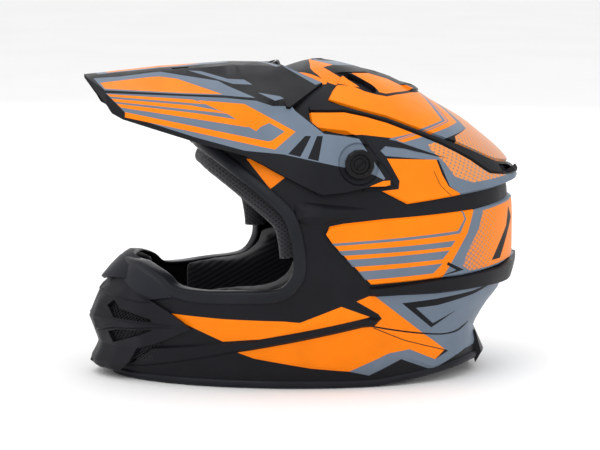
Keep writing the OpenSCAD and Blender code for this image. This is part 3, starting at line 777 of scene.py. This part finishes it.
TOP_VENT = [(26, 245), (33, 243), (43, 238), (49, 234), (50, 231), (48, 229.6), (40, 231.5), (34, 236),
            (27, 241)]
REAR_VENT = [(147, 171.5), (153, 169.5), (160, 167.5), (165, 163), (158, 161.5), (149, 163.5)]
shell.hole(TOP_VENT, 3)
shell.hole(REAR_VENT, 2)
shell.hole(circle(28, 180, 7.6, 20))

# The outline of the whole half shell: round the bottom rim, up the back, over the crown and down the brow
TOP_UP = float(up(254.6))
QUARTER = math.pi / 2 * AROUND
EYE_LOW, EYE_TOP = up(93), up(191)
rim = [(y, 2.0) for y in np.linspace(-150, 45, 34)]
rim += [(y, 2 + (y - 45) * 7 / 55) for y in np.linspace(50, 100, 10)]
rim += [(110, 10), (120, 11), (130, 12), (137, 13), (137, 20), (137, 27), (137, 34), (140, 34)]
back = [(QUARTER, v) for v in np.linspace(up(34), TOP_UP, 60)]
crown = [(u, TOP_UP) for u in np.linspace(QUARTER, -QUARTER, 30)[1:]]
brow = [(-QUARTER, v) for v in np.linspace(TOP_UP, up(192), 24)[1:]]
across_eyeport = [(-QUARTER, v) for v in np.linspace(EYE_TOP, EYE_LOW, 30)[1:-1]]
chin = [(-QUARTER, v) for v in np.linspace(EYE_LOW, up(2.0), 26)[:-1]]
half_shell = np.array([*map(tuple, shell_uv(rim)), *back, *crown, *brow, *across_eyeport, *chin])
EYE_UV = np.concatenate([[(-QUARTER - 6, EYE_LOW)], shell_uv(curved(EYEPORT, 4, False)),
                        [(-QUARTER - 6, EYE_TOP)]])
shell.holes.append(EYE_UV)
shell.loops.append(EYE_UV)
shell_obj = shell.build("painted_shell", half_shell, PAINTS, lip_flare)
mirrored(shell_obj)
solid(shell_obj, 3.9, IN)
crease(shell_obj, 24)
place(shell_obj, "shell")
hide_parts("outer_shell")

# ---- peak

# place along the length, then half width and height of the upper edge, the fold and the lower edge
PEAK_SLICES = [(-176, 14, 243, 40, 237, 55, 219), (-164, 20.2, 242.4, 47, 234, 58.5, 216),
               (-152, 20.7, 243.7, 49.6, 233.4, 62, 213), (-104, 22.3, 248.6, 60, 231, 78, 198),
               (-58, 24, 251.8, 72, 229, 96, 185), (-24, 24, 250, 79, 223, 109, 178)]
_slices = np.array(PEAK_SLICES, float)
PX1, PZ1, PX2, PZ2, PX3, PZ3 = (lambda y, k=k: np.interp(y, _slices[:, 0], _slices[:, k])
                                for k in range(1, 7))
PEAK_CLEAR = 6


def peak_side(uv, h):
    y, z = uv[:, 0], uv[:, 1]
    t_up = np.clip((z - PZ2(y)) / (PZ1(y) - PZ2(y)), 0, 1)
    t_low = np.clip((PZ2(y) - z) / (PZ2(y) - PZ3(y)), 0, 1.5)
    flat = np.where(z >= PZ2(y), PX2(y) + (PX1(y) - PX2(y)) * t_up, PX2(y) + (PX3(y) - PX2(y)) * t_low)
    flat = flat + 2.2 * np.sin(math.pi * np.clip(t_low, 0, 1))
    near = shell_xyz(shell_uv(uv), PEAK_CLEAR)[:, 0]
    w = np.clip((y + 50) / 30, 0, 1)
    w = w * w * (3 - 2 * w) * np.clip((227 - z) / 8, 0, 1)
    return np.stack([flat * (1 - w) + near * w + h, y, z], 1)


def unchanged(p):
    return np.asarray(p, float)


peak = Patch(unchanged, peak_side, 6.0)
P_LOW = [(-163.1, 223.5), (-159.6, 217.9), (-151.5, 212.9), (-124, 204.5), (-96.6, 196.2), (-78, 191),
         (-59.5, 186.1), (-45, 179.5), (-32.7, 172.2), (-18, 164.5), (-2.1, 156.8), (15.8, 158.5),
         (36.2, 162.5), (48.1, 162.2), (52.6, 162.7), (54.2, 167.3), (44, 181), (33.1, 197.2), (29.8, 199.5),
         (18.8, 201.6), (2.5, 203.6), (-7, 212), (-17.3, 220), (-19.2, 223), (-24, 223)]
peak_ys = np.linspace(-176, -24, 32)
y24 = [(-24.0, z) for z in np.linspace(223, 250, 9)[1:-1]]
# closed() also walks back from the last corner to the first, so that stretch is dropped
first = closed(P_LOW + [(-24, 223.01)], 5)
stop = int(np.argmin(np.linalg.norm(first - np.array([-24, 223]), axis=1)))
peak_domain = np.array([*map(tuple, first[:stop + 1]), *y24, *[(y, float(PZ1(y))) for y in peak_ys[::-1]]])

PEAK_GRAPHICS = [
    (G_, [(-170.8, 242.0), (-150, 243.4), (-124.2, 246.4), (-117.7, 247), (-93.9, 243.6), (-73.8, 240.8),
         (-65.8, 236.8), (-46.9, 228.9), (-72.6, 230.9), (-102, 231.6), (-163.9, 234.4)]),
    (O_, [(-166, 239.1), (-126.4, 243.2), (-118.6, 243.6), (-105.8, 242.2), (-72.5, 231.6), (-102, 232.4),
         (-163.4, 235.4)]),
    (G_, [(-95.6, 248), (-85.2, 247.4), (-65.7, 242.2), (-52.7, 241.5), (-46.8, 237.9), (-62.6, 238.7),
         (-76, 242.5)]),
    # lower face: grey with an orange arrow, thin orange stripes and a black crease line
    (G_, [(-163.6, 232.4), (-102, 230.2), (-70, 229), (-47, 226.9), (-34, 222.6), (-19.2, 222.4), (-17, 219),
         (2.5, 202.6), (18.8, 200.6), (29.8, 198.5), (48.4, 168.5), (47, 167.5), (39.9, 171.2),
         (16.7, 177.3), (-29.1, 187), (-59.1, 189.7), (-96.6, 199.5), (-149.3, 216)]),
    (O_, [(-92, 227.2), (-56.5, 224.6), (-18.9, 204), (-35.6, 190.5), (-149.5, 214.2), (-149.3, 218.2),
         (-40.2, 196.6), (-37.4, 197.1), (-26.9, 203.9), (-38.1, 210.2), (-45, 207.7), (-49.2, 204.4),
         (-61.3, 211.4), (-68.7, 216.3), (-84.1, 223.2)]),
    (O_, [(-162.4, 231.6), (-95.9, 227.6), (-84.5, 224.2), (-92, 224.6), (-160.1, 229.9)]),
    (O_, [(-159.3, 228.3), (-97.5, 223.3), (-78.3, 219.8), (-70.7, 217.3), (-156.5, 226.0)]),
    (O_, [(-155.6, 224.6), (-90.1, 217.0), (-62.6, 212.9), (-54.2, 207.6), (-56.8, 207.4),
         (-152.2, 221.7)]),
    (B_, [(-163.1, 223.5), (-159.6, 217.9), (-151.5, 212.9), (-149.5, 214.2), (-149.3, 217.9), (-155, 224),
         (-163.9, 232.9), (-170.8, 241.0), (-173.5, 243.0), (-176, 242.5)]),
    (B_, [(-149, 211.2), (-96.6, 196.2), (-59.5, 186.1), (-32.7, 172.2), (-2.1, 156.8), (15.8, 158.5),
         (36.2, 162.5), (47, 166.8), (39.9, 170.4), (16.7, 176.6), (-29.1, 186.4), (-59.1, 189),
         (-96.6, 198.6), (-149, 213.4)]),
    # a generic pair of slanted bars on the ear
    (B_, [(-26, 187.4), (-12, 201), (-7.5, 201), (-17, 185.4)]),
    (B_, [(-11.5, 184.2), (-3, 201), (1.5, 201), (-3.5, 182.4)]),
    (O_, [(35.6, 162.7), (46.6, 166.6), (52.4, 166.8), (52.2, 163.4), (48.1, 162.5), (36.8, 162.6)]),
    (G_, [(-44.1, 232.4), (-27, 229.6), (-24.2, 228), (-31.7, 226.6)]),
]
for index, outline in PEAK_GRAPHICS:
    peak.paint(index, outline)
peak.hole(circle(28, 179.5, 4.6, 16))
peak.relief(circle(28, 179.5, 16.5, 26), -1.6, 1.4)
peak_obj = peak.build("peak_sides", peak_domain, PAINTS)

DECK_MIDDLE = ([-176, -116, -57, -18], [244, 250, 253, 252.4])
DECK_EDGE = ([-176, -164, -152, -104, -58, -24, -18], [243, 242.4, 243.7, 248.6, 251.8, 250, 251])


def deck_z(x, y):
    """Height of the deck, which curves from the middle to its edge."""
    middle = np.interp(y, *DECK_MIDDLE)
    return middle + (np.interp(y, *DECK_EDGE) - middle) * (x / PX1(y)) ** 2


def deck_xyz(uv, h):
    return np.stack([uv[:, 0], uv[:, 1], deck_z(uv[:, 0], uv[:, 1]) + h], 1)


deck = Patch(unchanged, deck_xyz, 6.0)
deck_edge = [(float(PX1(y)), y) for y in peak_ys]
deck_domain = np.array([(0, -176.0)] + deck_edge + [(24, -18), (16, -22), (8, -26), (0, -30)]
                       + [(0, y) for y in np.linspace(-36, -170, 24)])
deck.paint(G_, [(0, -168), (9, -166), (12, -100), (5, -60), (0, -60)])
deck.paint(O_, [(0, -160), (5.5, -158), (8, -106), (0, -82)])
deck.paint(G_, [(0, -36), (24, -24), (24, -20), (0, -32)])
deck.hole([(14.5, -108.4), (20, -107), (20.5, -95), (16, -93.1)])
deck_obj = deck.build("peak_deck", deck_domain, PAINTS)

# Raised block behind the deck, from the middle to the crease
low_z = [250, *np.linspace(250, 223, 9)[1:-1], 223]
low_line = [Vector((float(np.interp(z, [223, 250], [79, 24])), -24, z)) for z in low_z]
corner_b, corner_c, corner_e = Vector((24, -18, 251)), Vector((60, 8, 239.5)), Vector((80, -21, 222.2))
high_line = [corner_b.lerp(corner_c, t / 6) for t in range(7)]
high_line += [corner_c.lerp(corner_e, t) for t in (0.5, 1)]
stripe_line = [h.lerp(l, 0.17) for h, l in zip(high_line, low_line)]
block_v = [row(p) for p in low_line + stripe_line + high_line]
block_f = [(k * 9 + i, k * 9 + i + 1, k * 9 + i + 10, k * 9 + i + 9) for k in (0, 1) for i in range(8)]
block = add_object("peak_block", block_v, block_f, PAINTS, [B_] * 8 + [G_] * 6 + [B_] * 2)


def joined(name, objects):
    """One object of several with the same materials."""
    bm = bmesh.new()
    for o in objects:
        bm.from_mesh(o.data)
    bmesh.ops.remove_doubles(bm, verts=bm.verts, dist=0.25 * MM)
    me = bpy.data.meshes.new(name)
    bm.to_mesh(me)
    bm.free()
    for m in objects[0].data.materials:
        me.materials.append(m)
    for o in objects:
        bpy.data.objects.remove(o)
    return linked(name, me)


peak_all = joined("peak_visor", [peak_obj, deck_obj, block])
outward(peak_all)
mirrored(peak_all)
solid(peak_all, 3.0, IN)
crease(peak_all, 22)
place(peak_all, "peak")
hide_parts("peak")


# ---- swept edgings

SWEEP_SPACING = 3.5


def sweep(name, path_uv, profile, mat, closed_path=True, flip=1):
    """A bar of some cross section (sideways, outward) run along a line on the shell and its mirror image."""
    p = np.asarray(path_uv, float)
    d = np.concatenate([[0], np.cumsum(np.linalg.norm(np.diff(p, axis=0), axis=1))])
    s = np.linspace(0, d[-1], max(8, int(d[-1] / SWEEP_SPACING)))
    p = np.stack([np.interp(s, d, p[:, 0]), np.interp(s, d, p[:, 1])], 1)
    base, over = shell_xyz(p, 0), shell_xyz(p, 2)
    nrm = over - base
    nrm /= np.linalg.norm(nrm, axis=1)[:, None]
    line, normals = (np.concatenate([q, (q * (-1, 1, 1))[::-1]]) for q in (base, nrm))
    tangent = np.roll(line, -1, 0) - np.roll(line, 1, 0)
    if not closed_path:
        tangent[0], tangent[-1] = line[1] - line[0], line[-1] - line[-2]
    for _ in range(2):
        tangent = tangent + 0.5 * (np.roll(tangent, 1, 0) + np.roll(tangent, -1, 0))
    tangent /= np.maximum(np.linalg.norm(tangent, axis=1), 1e-6)[:, None]
    side = np.cross(tangent, normals) * flip
    side /= np.maximum(np.linalg.norm(side, axis=1), 1e-6)[:, None]
    prof = curved(profile, 3)
    n, m = len(line), len(prof)
    verts = [row(line[i] + side[i] * a + normals[i] * b) for i in range(n) for a, b in prof]
    last = n if closed_path else n - 1
    faces = [(i * m + j, i * m + (j + 1) % m, ((i + 1) % n) * m + (j + 1) % m, ((i + 1) % n) * m + j)
             for i in range(last) for j in range(m)]
    if not closed_path:
        faces += [tuple(range(m)), tuple((n - 1) * m + j for j in range(m - 1, -1, -1))]
    return outward(add_object(name, verts, faces, mat))


TRIM_SECTION = [(-6.5, 0.2), (-6, 1.7), (-3, 2.8), (1, 2.9), (3.2, 1.2), (3.6, -3), (3, -8.5), (1, -8.5),
                (0.6, -1.2), (-3, -0.4)]
HEM_SECTION = [(-3, 0.8), (0, 2.1), (3, 0.6), (3, -3), (2, -6.4), (-2, -6.4), (-3.1, -3)]
ROLL_SECTION = [(2.5, -8), (8, -6.5), (13, -8), (15.5, -12), (15, -18), (10, -26), (3, -27), (1, -16)]

trim_path = np.concatenate([[(-QUARTER, EYE_LOW)], EYE_UV[1:-1], [(-QUARTER, EYE_TOP)]])
trim = sweep("eyeport_edging", trim_path, TRIM_SECTION, rubber, flip=-1)
place(trim, "shell")
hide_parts("eyeport_trim")

hem_line = [(y, 3.2) for y in np.linspace(-148, 45, 40)]
hem_line += [(y, 3.2 + (y - 45) * 7 / 55) for y in np.linspace(52, 100, 8)]
hem_line += [(y, 10.4 + (y - 100) * 0.12) for y in np.linspace(106, 130, 6)]
hem_path = np.concatenate([[(-QUARTER, up(3.2))], shell_uv(hem_line), [(QUARTER, up(13.5))]])
hem = sweep("neck_edging", hem_path, HEM_SECTION, rubber)
for v in hem.data.vertices:
    v.co.z = max(v.co.z, 0)
place(hem, "shell")
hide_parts("neck_trim")


# ---- mouth cover, its mesh and the nose guard

COVER_FRONT = np.array([(4, -166), (10, -175), (25, -167), (47, -175), (69, -166), (76, -158), (90, -150)],
                        float)
COVER_REAR = -100
COVER_U = np.array([0, 14, 34, 62, 110.0])


def cover_rows(z):
    y0 = np.interp(z, COVER_FRONT[:, 0], COVER_FRONT[:, 1])
    x4 = shell_x(COVER_REAR, float(z)) + 4
    return np.array([0, 14, 33, 58, x4]), np.array([y0, y0 + 1.5, y0 + 13, y0 + 34, COVER_REAR])


def cover_xyz(uv, h):
    out = []
    for (u, z), k in zip(uv, h):
        xs, ys = cover_rows(z)
        x = np.interp(u, COVER_U, xs) + (k if u > 1 else 0)
        out.append((max(0, x), np.interp(u, COVER_U, ys) - k, z))
    return np.array(out)


def cover_uv(yz):
    out = []
    for y, z in np.asarray(yz, float):
        xs, ys = cover_rows(z)
        out.append((np.interp(y, ys, COVER_U), z))
    return np.array(out)


COVER_SIDE = [(-147, 86), (-143.5, 79.5), (-140, 73), (-129, 66.5), (-118, 60), (-109, 53.5), (-101, 47),
              (-114, 40), (-127, 33), (-141, 27), (-147, 16), (-154, 6)]
UPPER_SLOT = [(-162, 59), (-157, 64), (-153, 58), (-131, 53), (-130, 50.5), (-143, 50.5), (-158, 50.5)]
LOWER_SLOT = [(-162, 38), (-156, 41), (-129, 44.5), (-143, 37), (-158, 29)]
cover = Patch(cover_uv, cover_xyz, 4.5)
cover.hole(UPPER_SLOT)
cover.hole(LOWER_SLOT)
cover.relief([(-170, 36), (-158, 41.5), (-128, 46), (-104, 48), (-128, 50), (-158, 49.5), (-172, 49)],
              1.8, 1.5)
cover.relief([(-171, 69), (-157, 66.5), (-139, 64.5), (-128, 66), (-141, 73.5), (-147, 84), (-158, 80)],
              1.0, 1.5)
cover_domain = np.array([*[(0, z) for z in np.linspace(6, 84, 22)], (12, 85),
                        *map(tuple, cover_uv(COVER_SIDE)), (12, 6)])[::-1]
cover_obj = cover.build("mouth_cover", cover_domain, [black_plastic])
mirrored(cover_obj)
solid(cover_obj, 2.6)
crease(cover_obj, 24)
place(cover_obj, "shell")
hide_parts("mouth_vent")


NET_WIRE = 1.0


def lattice(name, to_xyz, u0, u1, v0, v1, pitch, out, keep=None):
    """Diamond mesh over part of a surface."""
    verts, index, faces = [], {}, []
    nu, nv = int((u1 - u0) / pitch * 2), int((v1 - v0) / pitch * 2)

    def vert(i, j):
        if (i, j) not in index:
            index[i, j] = len(verts)
            verts.append((u0 + i * pitch / 2, v0 + j * pitch / 2))
        return index[i, j]
    for j in range(1, nv):
        for i in range(1 + j % 2, nu, 2):
            c = np.array([(u0 + i * pitch / 2, v0 + j * pitch / 2)])
            if keep is None or inside(c, keep)[0]:
                faces.append((vert(i - 1, j), vert(i, j - 1), vert(i + 1, j), vert(i, j + 1)))
    uv = np.array(verts)
    xyz = to_xyz(uv, np.full(len(uv), out))
    o = add_object(name, [row(p) for p in xyz], faces, mesh_black)
    modifier(o, "WIREFRAME", thickness=NET_WIRE * MM, use_even_offset=False)
    return apply_all(o)


vent_net = lattice("mouth_net", cover_xyz, 8, 78, 18, 68, 3.2, -3.3)
mirrored(vent_net, 0.001)
place(vent_net, "shell")
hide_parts("mouth_vent_mesh")

GUARD_STEPS = 14
GUARD_HALF = 44
GUARD_Y, GUARD_Z = -141, 101

guard_rows = []
for i in range(-GUARD_STEPS, GUARD_STEPS + 1):
    u = i / GUARD_STEPS
    x = u * GUARD_HALF
    back, drop, taper = 0.011 * x ** 2, 0.007 * x ** 2, 1 - abs(u) * 0.55
    top = np.array([GUARD_Y + back, GUARD_Z - drop])
    low = np.array([GUARD_Y - 24 * taper + back, GUARD_Z - 22 * taper - drop])
    rows = [top, top * 0.66 + low * 0.34 + (-1.2, 1.0), top * 0.33 + low * 0.67 + (-1.0, 0.8), low,
            low + (2.6, -2.3), top * 0.5 + low * 0.5 + (2.0, -3.4), top + (1.2, -4.2)]
    guard_rows.append([(x, *r) for r in rows])
gm = len(guard_rows[0])
guard_v = [row(p) for r in guard_rows for p in r]
guard_f = [(i * gm + j, i * gm + (j + 1) % gm, (i + 1) * gm + (j + 1) % gm, (i + 1) * gm + j)
           for i in range(2 * GUARD_STEPS) for j in range(gm)]
guard_f += [tuple(range(gm)), tuple(2 * GUARD_STEPS * gm + j for j in range(gm - 1, -1, -1))]
guard = outward(add_object("nose_deflector", guard_v, guard_f, guard_rubber))
modifier(guard, "BEVEL", width=0.5 * MM, segments=2, limit_method="ANGLE", angle_limit=math.radians(35))
apply_all(guard)
crease(guard, 35)
place(guard, "shell")
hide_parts("nose_guard")


# ---- vents in the crown

for vent, outline, depth in (("top_vent", TOP_VENT, -2.2), ("rear_vent", REAR_VENT, 2.0)):
    ring = inset(shell_uv(curved(outline, 3)), -2.0)
    lo, hi = ring.min(0), ring.max(0)
    for side, sign in (("left", 1), ("right", -1)):
        o = lattice(f"{vent}_net_{side}", shell_patch_xyz, lo[0], hi[0], lo[1], hi[1], 3.6, depth, ring)
        for v in o.data.vertices:
            v.co.x *= sign
        outward(o)
        place(o, "shell")
        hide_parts(f"{vent}_{side}")


# ---- screws with a coin slot

# Radius of the section below, its points (distance from the axis, height), and the coin slot's half sizes
HEAD_R = 12
HEAD_SECTION = [(0, -1.6), (4.4, -1.6), (5.0, -2.2), (7.4, -2.3), (8.2, -0.5), (9.2, 0), (10.8, -0.1),
                (11.8, -0.9), (12, -2.2), (12, -4.2), (3.2, -4.2), (3.2, -13), (0, -13)]
SLOT_HALF = (5.6, 1.1)


def screw_head(name, node, body, radius, turn, sunk):
    """A round head with a coin slot on the CAD screw's axis, with its top sunk mm below the CAD one's."""
    lo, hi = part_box(node)
    mid = (lo + hi) / 2
    joint = next(j for j in frame["joints"] if j["child"] == body)
    axis = Vector(joint["axis"]).normalized()
    away = mid - Vector((0, 0.015, 0.12))
    if axis.dot(away) < 0:
        axis = -axis
    anchor = Vector(joint["anchor"]) if "anchor" in joint else mid
    cad = frame["nodes"][node]
    top = max((cad.matrix_world @ v.co - anchor).dot(axis) for v in cad.data.vertices)
    profile = [(r * radius / HEAD_R, h) for r, h in HEAD_SECTION]
    count = 48
    verts, faces = [], []
    for r, h in profile:
        for k in range(count):
            a = TAU * k / count
            grip = 0.25 if 9 < r * HEAD_R / radius < 12.1 and k % 4 < 2 else 0
            verts.append(Vector(((r - grip) * math.cos(a), (r - grip) * math.sin(a), h)))
    for i in range(len(profile) - 1):
        for k in range(count):
            after = (k + 1) % count
            faces.append((i * count + k, i * count + after, (i + 1) * count + after, (i + 1) * count + k))
    o = add_object(name, [v * MM for v in verts], faces, screw_gloss)
    with edited(o.data) as bm:
        bmesh.ops.remove_doubles(bm, verts=bm.verts, dist=0.01 * MM)
        bmesh.ops.dissolve_degenerate(bm, edges=bm.edges, dist=0.005 * MM)
        bmesh.ops.recalc_face_normals(bm, faces=bm.faces)
    corners = [(x * SLOT_HALF[0] * MM, y * SLOT_HALF[1] * MM, z * MM)
               for x in (-1, 1) for y in (-1, 1) for z in (-2.9, 2)]
    sides = [(0, 1, 3, 2), (4, 6, 7, 5), (0, 4, 5, 1), (2, 3, 7, 6), (0, 2, 6, 4), (1, 5, 7, 3)]
    cut = add_object(name + "_cut", corners, sides, screw_gloss)
    outward(cut)
    cut.rotation_euler = (0, 0, math.radians(turn))
    modifier(o, "BOOLEAN", operation="DIFFERENCE", object=cut, solver="EXACT")
    apply_all(o)
    bpy.data.objects.remove(cut)
    quat = axis.to_track_quat("Z", "Y")
    for v in o.data.vertices:
        v.co = quat @ v.co + anchor + axis * (top - sunk * MM)
    shade_smooth(o.data)
    crease(o, 32)
    place(o, body)
    return o


for side, turn in (("left", 40), ("right", -40), ("center", 90)):
    sunk = 3.2 if side == "center" else 0
    cap = screw_head(f"screw_head_{side}", f"peak_screw_{side}", f"screw_{side}", 11.6, turn, sunk)
    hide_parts(f"peak_screw_{side}")


# ---- pads and other soft parts

# Inner pressure of the pads, and the frames that they are blown up for
PAD_PRESSURE = 4
PAD_FRAMES = 12


def pad(name, node, body, mat, voxel, most=1.4):
    """A stuffed form made from the CAD pad: remeshed, smoothed, and blown up as cloth by up to most mm."""
    o = linked(name, frame["nodes"][node].data.copy())
    o.data.materials.clear()
    o.data.materials.append(mat)
    modifier(o, "REMESH", mode="VOXEL", voxel_size=voxel * MM, use_smooth_shade=True)
    apply_all(o)
    modifier(o, "SMOOTH", factor=0.6, iterations=4)
    apply_all(o)
    before = np.array([v.co[:] for v in o.data.vertices])
    c = modifier(o, "CLOTH")
    c.settings.use_pressure = True
    c.settings.uniform_pressure_force = PAD_PRESSURE
    c.settings.effector_weights.gravity = 0
    c.settings.quality = 3
    c.point_cache.frame_start, c.point_cache.frame_end = 1, PAD_FRAMES
    for f in range(1, PAD_FRAMES + 1):
        bpy.context.scene.frame_set(f)
    apply_all(o)
    bpy.context.scene.frame_set(1)
    after = np.array([v.co[:] for v in o.data.vertices])
    move = after - before
    far = np.linalg.norm(move, axis=1)
    move *= np.minimum(1, most * MM / np.maximum(far, 1e-9))[:, None]
    for v, p in zip(o.data.vertices, before + move):
        v.co = p
    modifier(o, "SUBSURF", levels=1)
    apply_all(o)
    shade_smooth(o.data)
    place(o, body)
    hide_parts(node)


pad("crown_cushion", "crown_pad", "shell", mesh_cloth, 5.5)
pad("brow_cushion", "brow_pad", "shell", mesh_cloth, 4.5)
pad("cheek_cushion_left", "cheek_pad_left", "cheek_left", ribbed_cloth, 5.0)
pad("cheek_cushion_right", "cheek_pad_right", "cheek_right", ribbed_cloth, 5.0)
pad("neck_cushion", "neck_roll", "shell", soft_cloth, 4.5)
# The padded edge that shows inside the upper half of the eyeport
roll_path = [p for p in trim_path if p[1] > up(106) and p[0] > -QUARTER + 0.001]
roll_path = np.array(roll_path + [(-QUARTER, EYE_TOP)])
roll = sweep("brow_roll", roll_path, ROLL_SECTION, mesh_cloth, closed_path=False, flip=-1)
place(roll, "shell")
pad("filter_foam_block", "breath_filter", "shell", open_foam, 2.5, 0.35)

for side in ("left", "right"):
    node = f"strap_{side}"
    body = next(b for b, members in frame["record"]["behaviour"]["bodies"].items() if node in members)
    o = linked(f"webbing_{side}", frame["nodes"][node].data.copy())
    o.data.materials.clear()
    o.data.materials.append(webbing_cloth)
    with edited(o.data) as bm:
        bmesh.ops.remove_doubles(bm, verts=bm.verts, dist=0.01 * MM)
        bmesh.ops.dissolve_limit(bm, angle_limit=math.radians(1), verts=bm.verts, edges=bm.edges)
    modifier(o, "BEVEL", width=0.35 * MM, segments=2, limit_method="ANGLE", angle_limit=math.radians(50))
    apply_all(o)
    crease(o, 40)
    place(o, body)
    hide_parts(node)

KEPT = {"impact_liner": foam, "chin_liner": foam, "rear_neck_piece": black_plastic,
        "side_blade_left": black_plastic, "side_blade_right": black_plastic, "screw_socket_left": steel,
        "screw_socket_right": steel, "screw_socket_center": steel, "strap_hanger_left": steel,
        "strap_hanger_right": steel, "strap_rivet_left": steel, "strap_rivet_right": steel,
        "strap_ring_lower": chrome, "strap_ring_upper": chrome}
for node, mat in KEPT.items():
    o = frame["nodes"][node]
    if not o.data.materials:
        o.data.materials.append(mat)
    for k in range(len(o.data.materials)):
        o.data.materials[k] = mat


# ---- camera, light and floor

# Direction from the helmet to the camera, its distance in metres, and its lens
VIEW = (0.9792, -0.1551, 0.1305)
VIEW_DISTANCE = 2.0
LENS = 145.45
SHIFT = (-0.0008, -0.0153)
# name, place, size and power of each area light
LIGHTS = [("key", (1.5, -1.3, 1.9), 1.5, 13), ("fill", (1.8, 1.3, 1.0), 2.0, 5), ("top", (0.1, 0.1, 2.3),
          2.0, 13), ("far", (-1.8, 0.6, 1.2), 2.0, 8)]
FLOOR_HALF, FLOOR_Z = 9, -0.0005
WORLD_LIGHT = 0.97


def look_setup():
    view = Vector(VIEW).normalized()
    target = row((0, 0, 125))
    cam_data = bpy.data.cameras.new("camera")
    cam_data.lens, cam_data.sensor_width = LENS, 36
    cam_data.shift_x, cam_data.shift_y = SHIFT
    cam_data.clip_end = 50
    cam = linked("camera", cam_data)
    cam.location = target + view * VIEW_DISTANCE
    cam.rotation_euler = view.to_track_quat("Z", "Y").to_euler()
    bpy.context.scene.camera = cam
    for name, spot, size, power in LIGHTS:
        d = bpy.data.lights.new(name, "AREA")
        d.size, d.energy = size, power
        o = linked(name, d)
        o.location = spot
        o.rotation_euler = (Vector(spot) - target).to_track_quat("Z", "Y").to_euler()
    corners = [(x * FLOOR_HALF, y * FLOOR_HALF, FLOOR_Z) for x, y in ((-1, -1), (1, -1), (1, 1), (-1, 1))]
    floor = add_object("floor", corners, [(0, 1, 2, 3)], new_material("floor_white", (0.93, 0.93, 0.93), 0.9))
    n = Nodes(floor.data.materials[0])
    n.color(n.ramp(n.noise(3, 2), [(0.3, (0.92, 0.92, 0.92)), (0.7, (0.94, 0.94, 0.94))]))
    world = bpy.data.worlds.new("studio")
    bpy.context.scene.world = world
    world.use_nodes = True
    world.node_tree.nodes["Background"].inputs[0].default_value = (1, 1, 1, 1)
    world.node_tree.nodes["Background"].inputs[1].default_value = WORLD_LIGHT
    bpy.context.scene.view_settings.view_transform = "Standard"


look_setup()
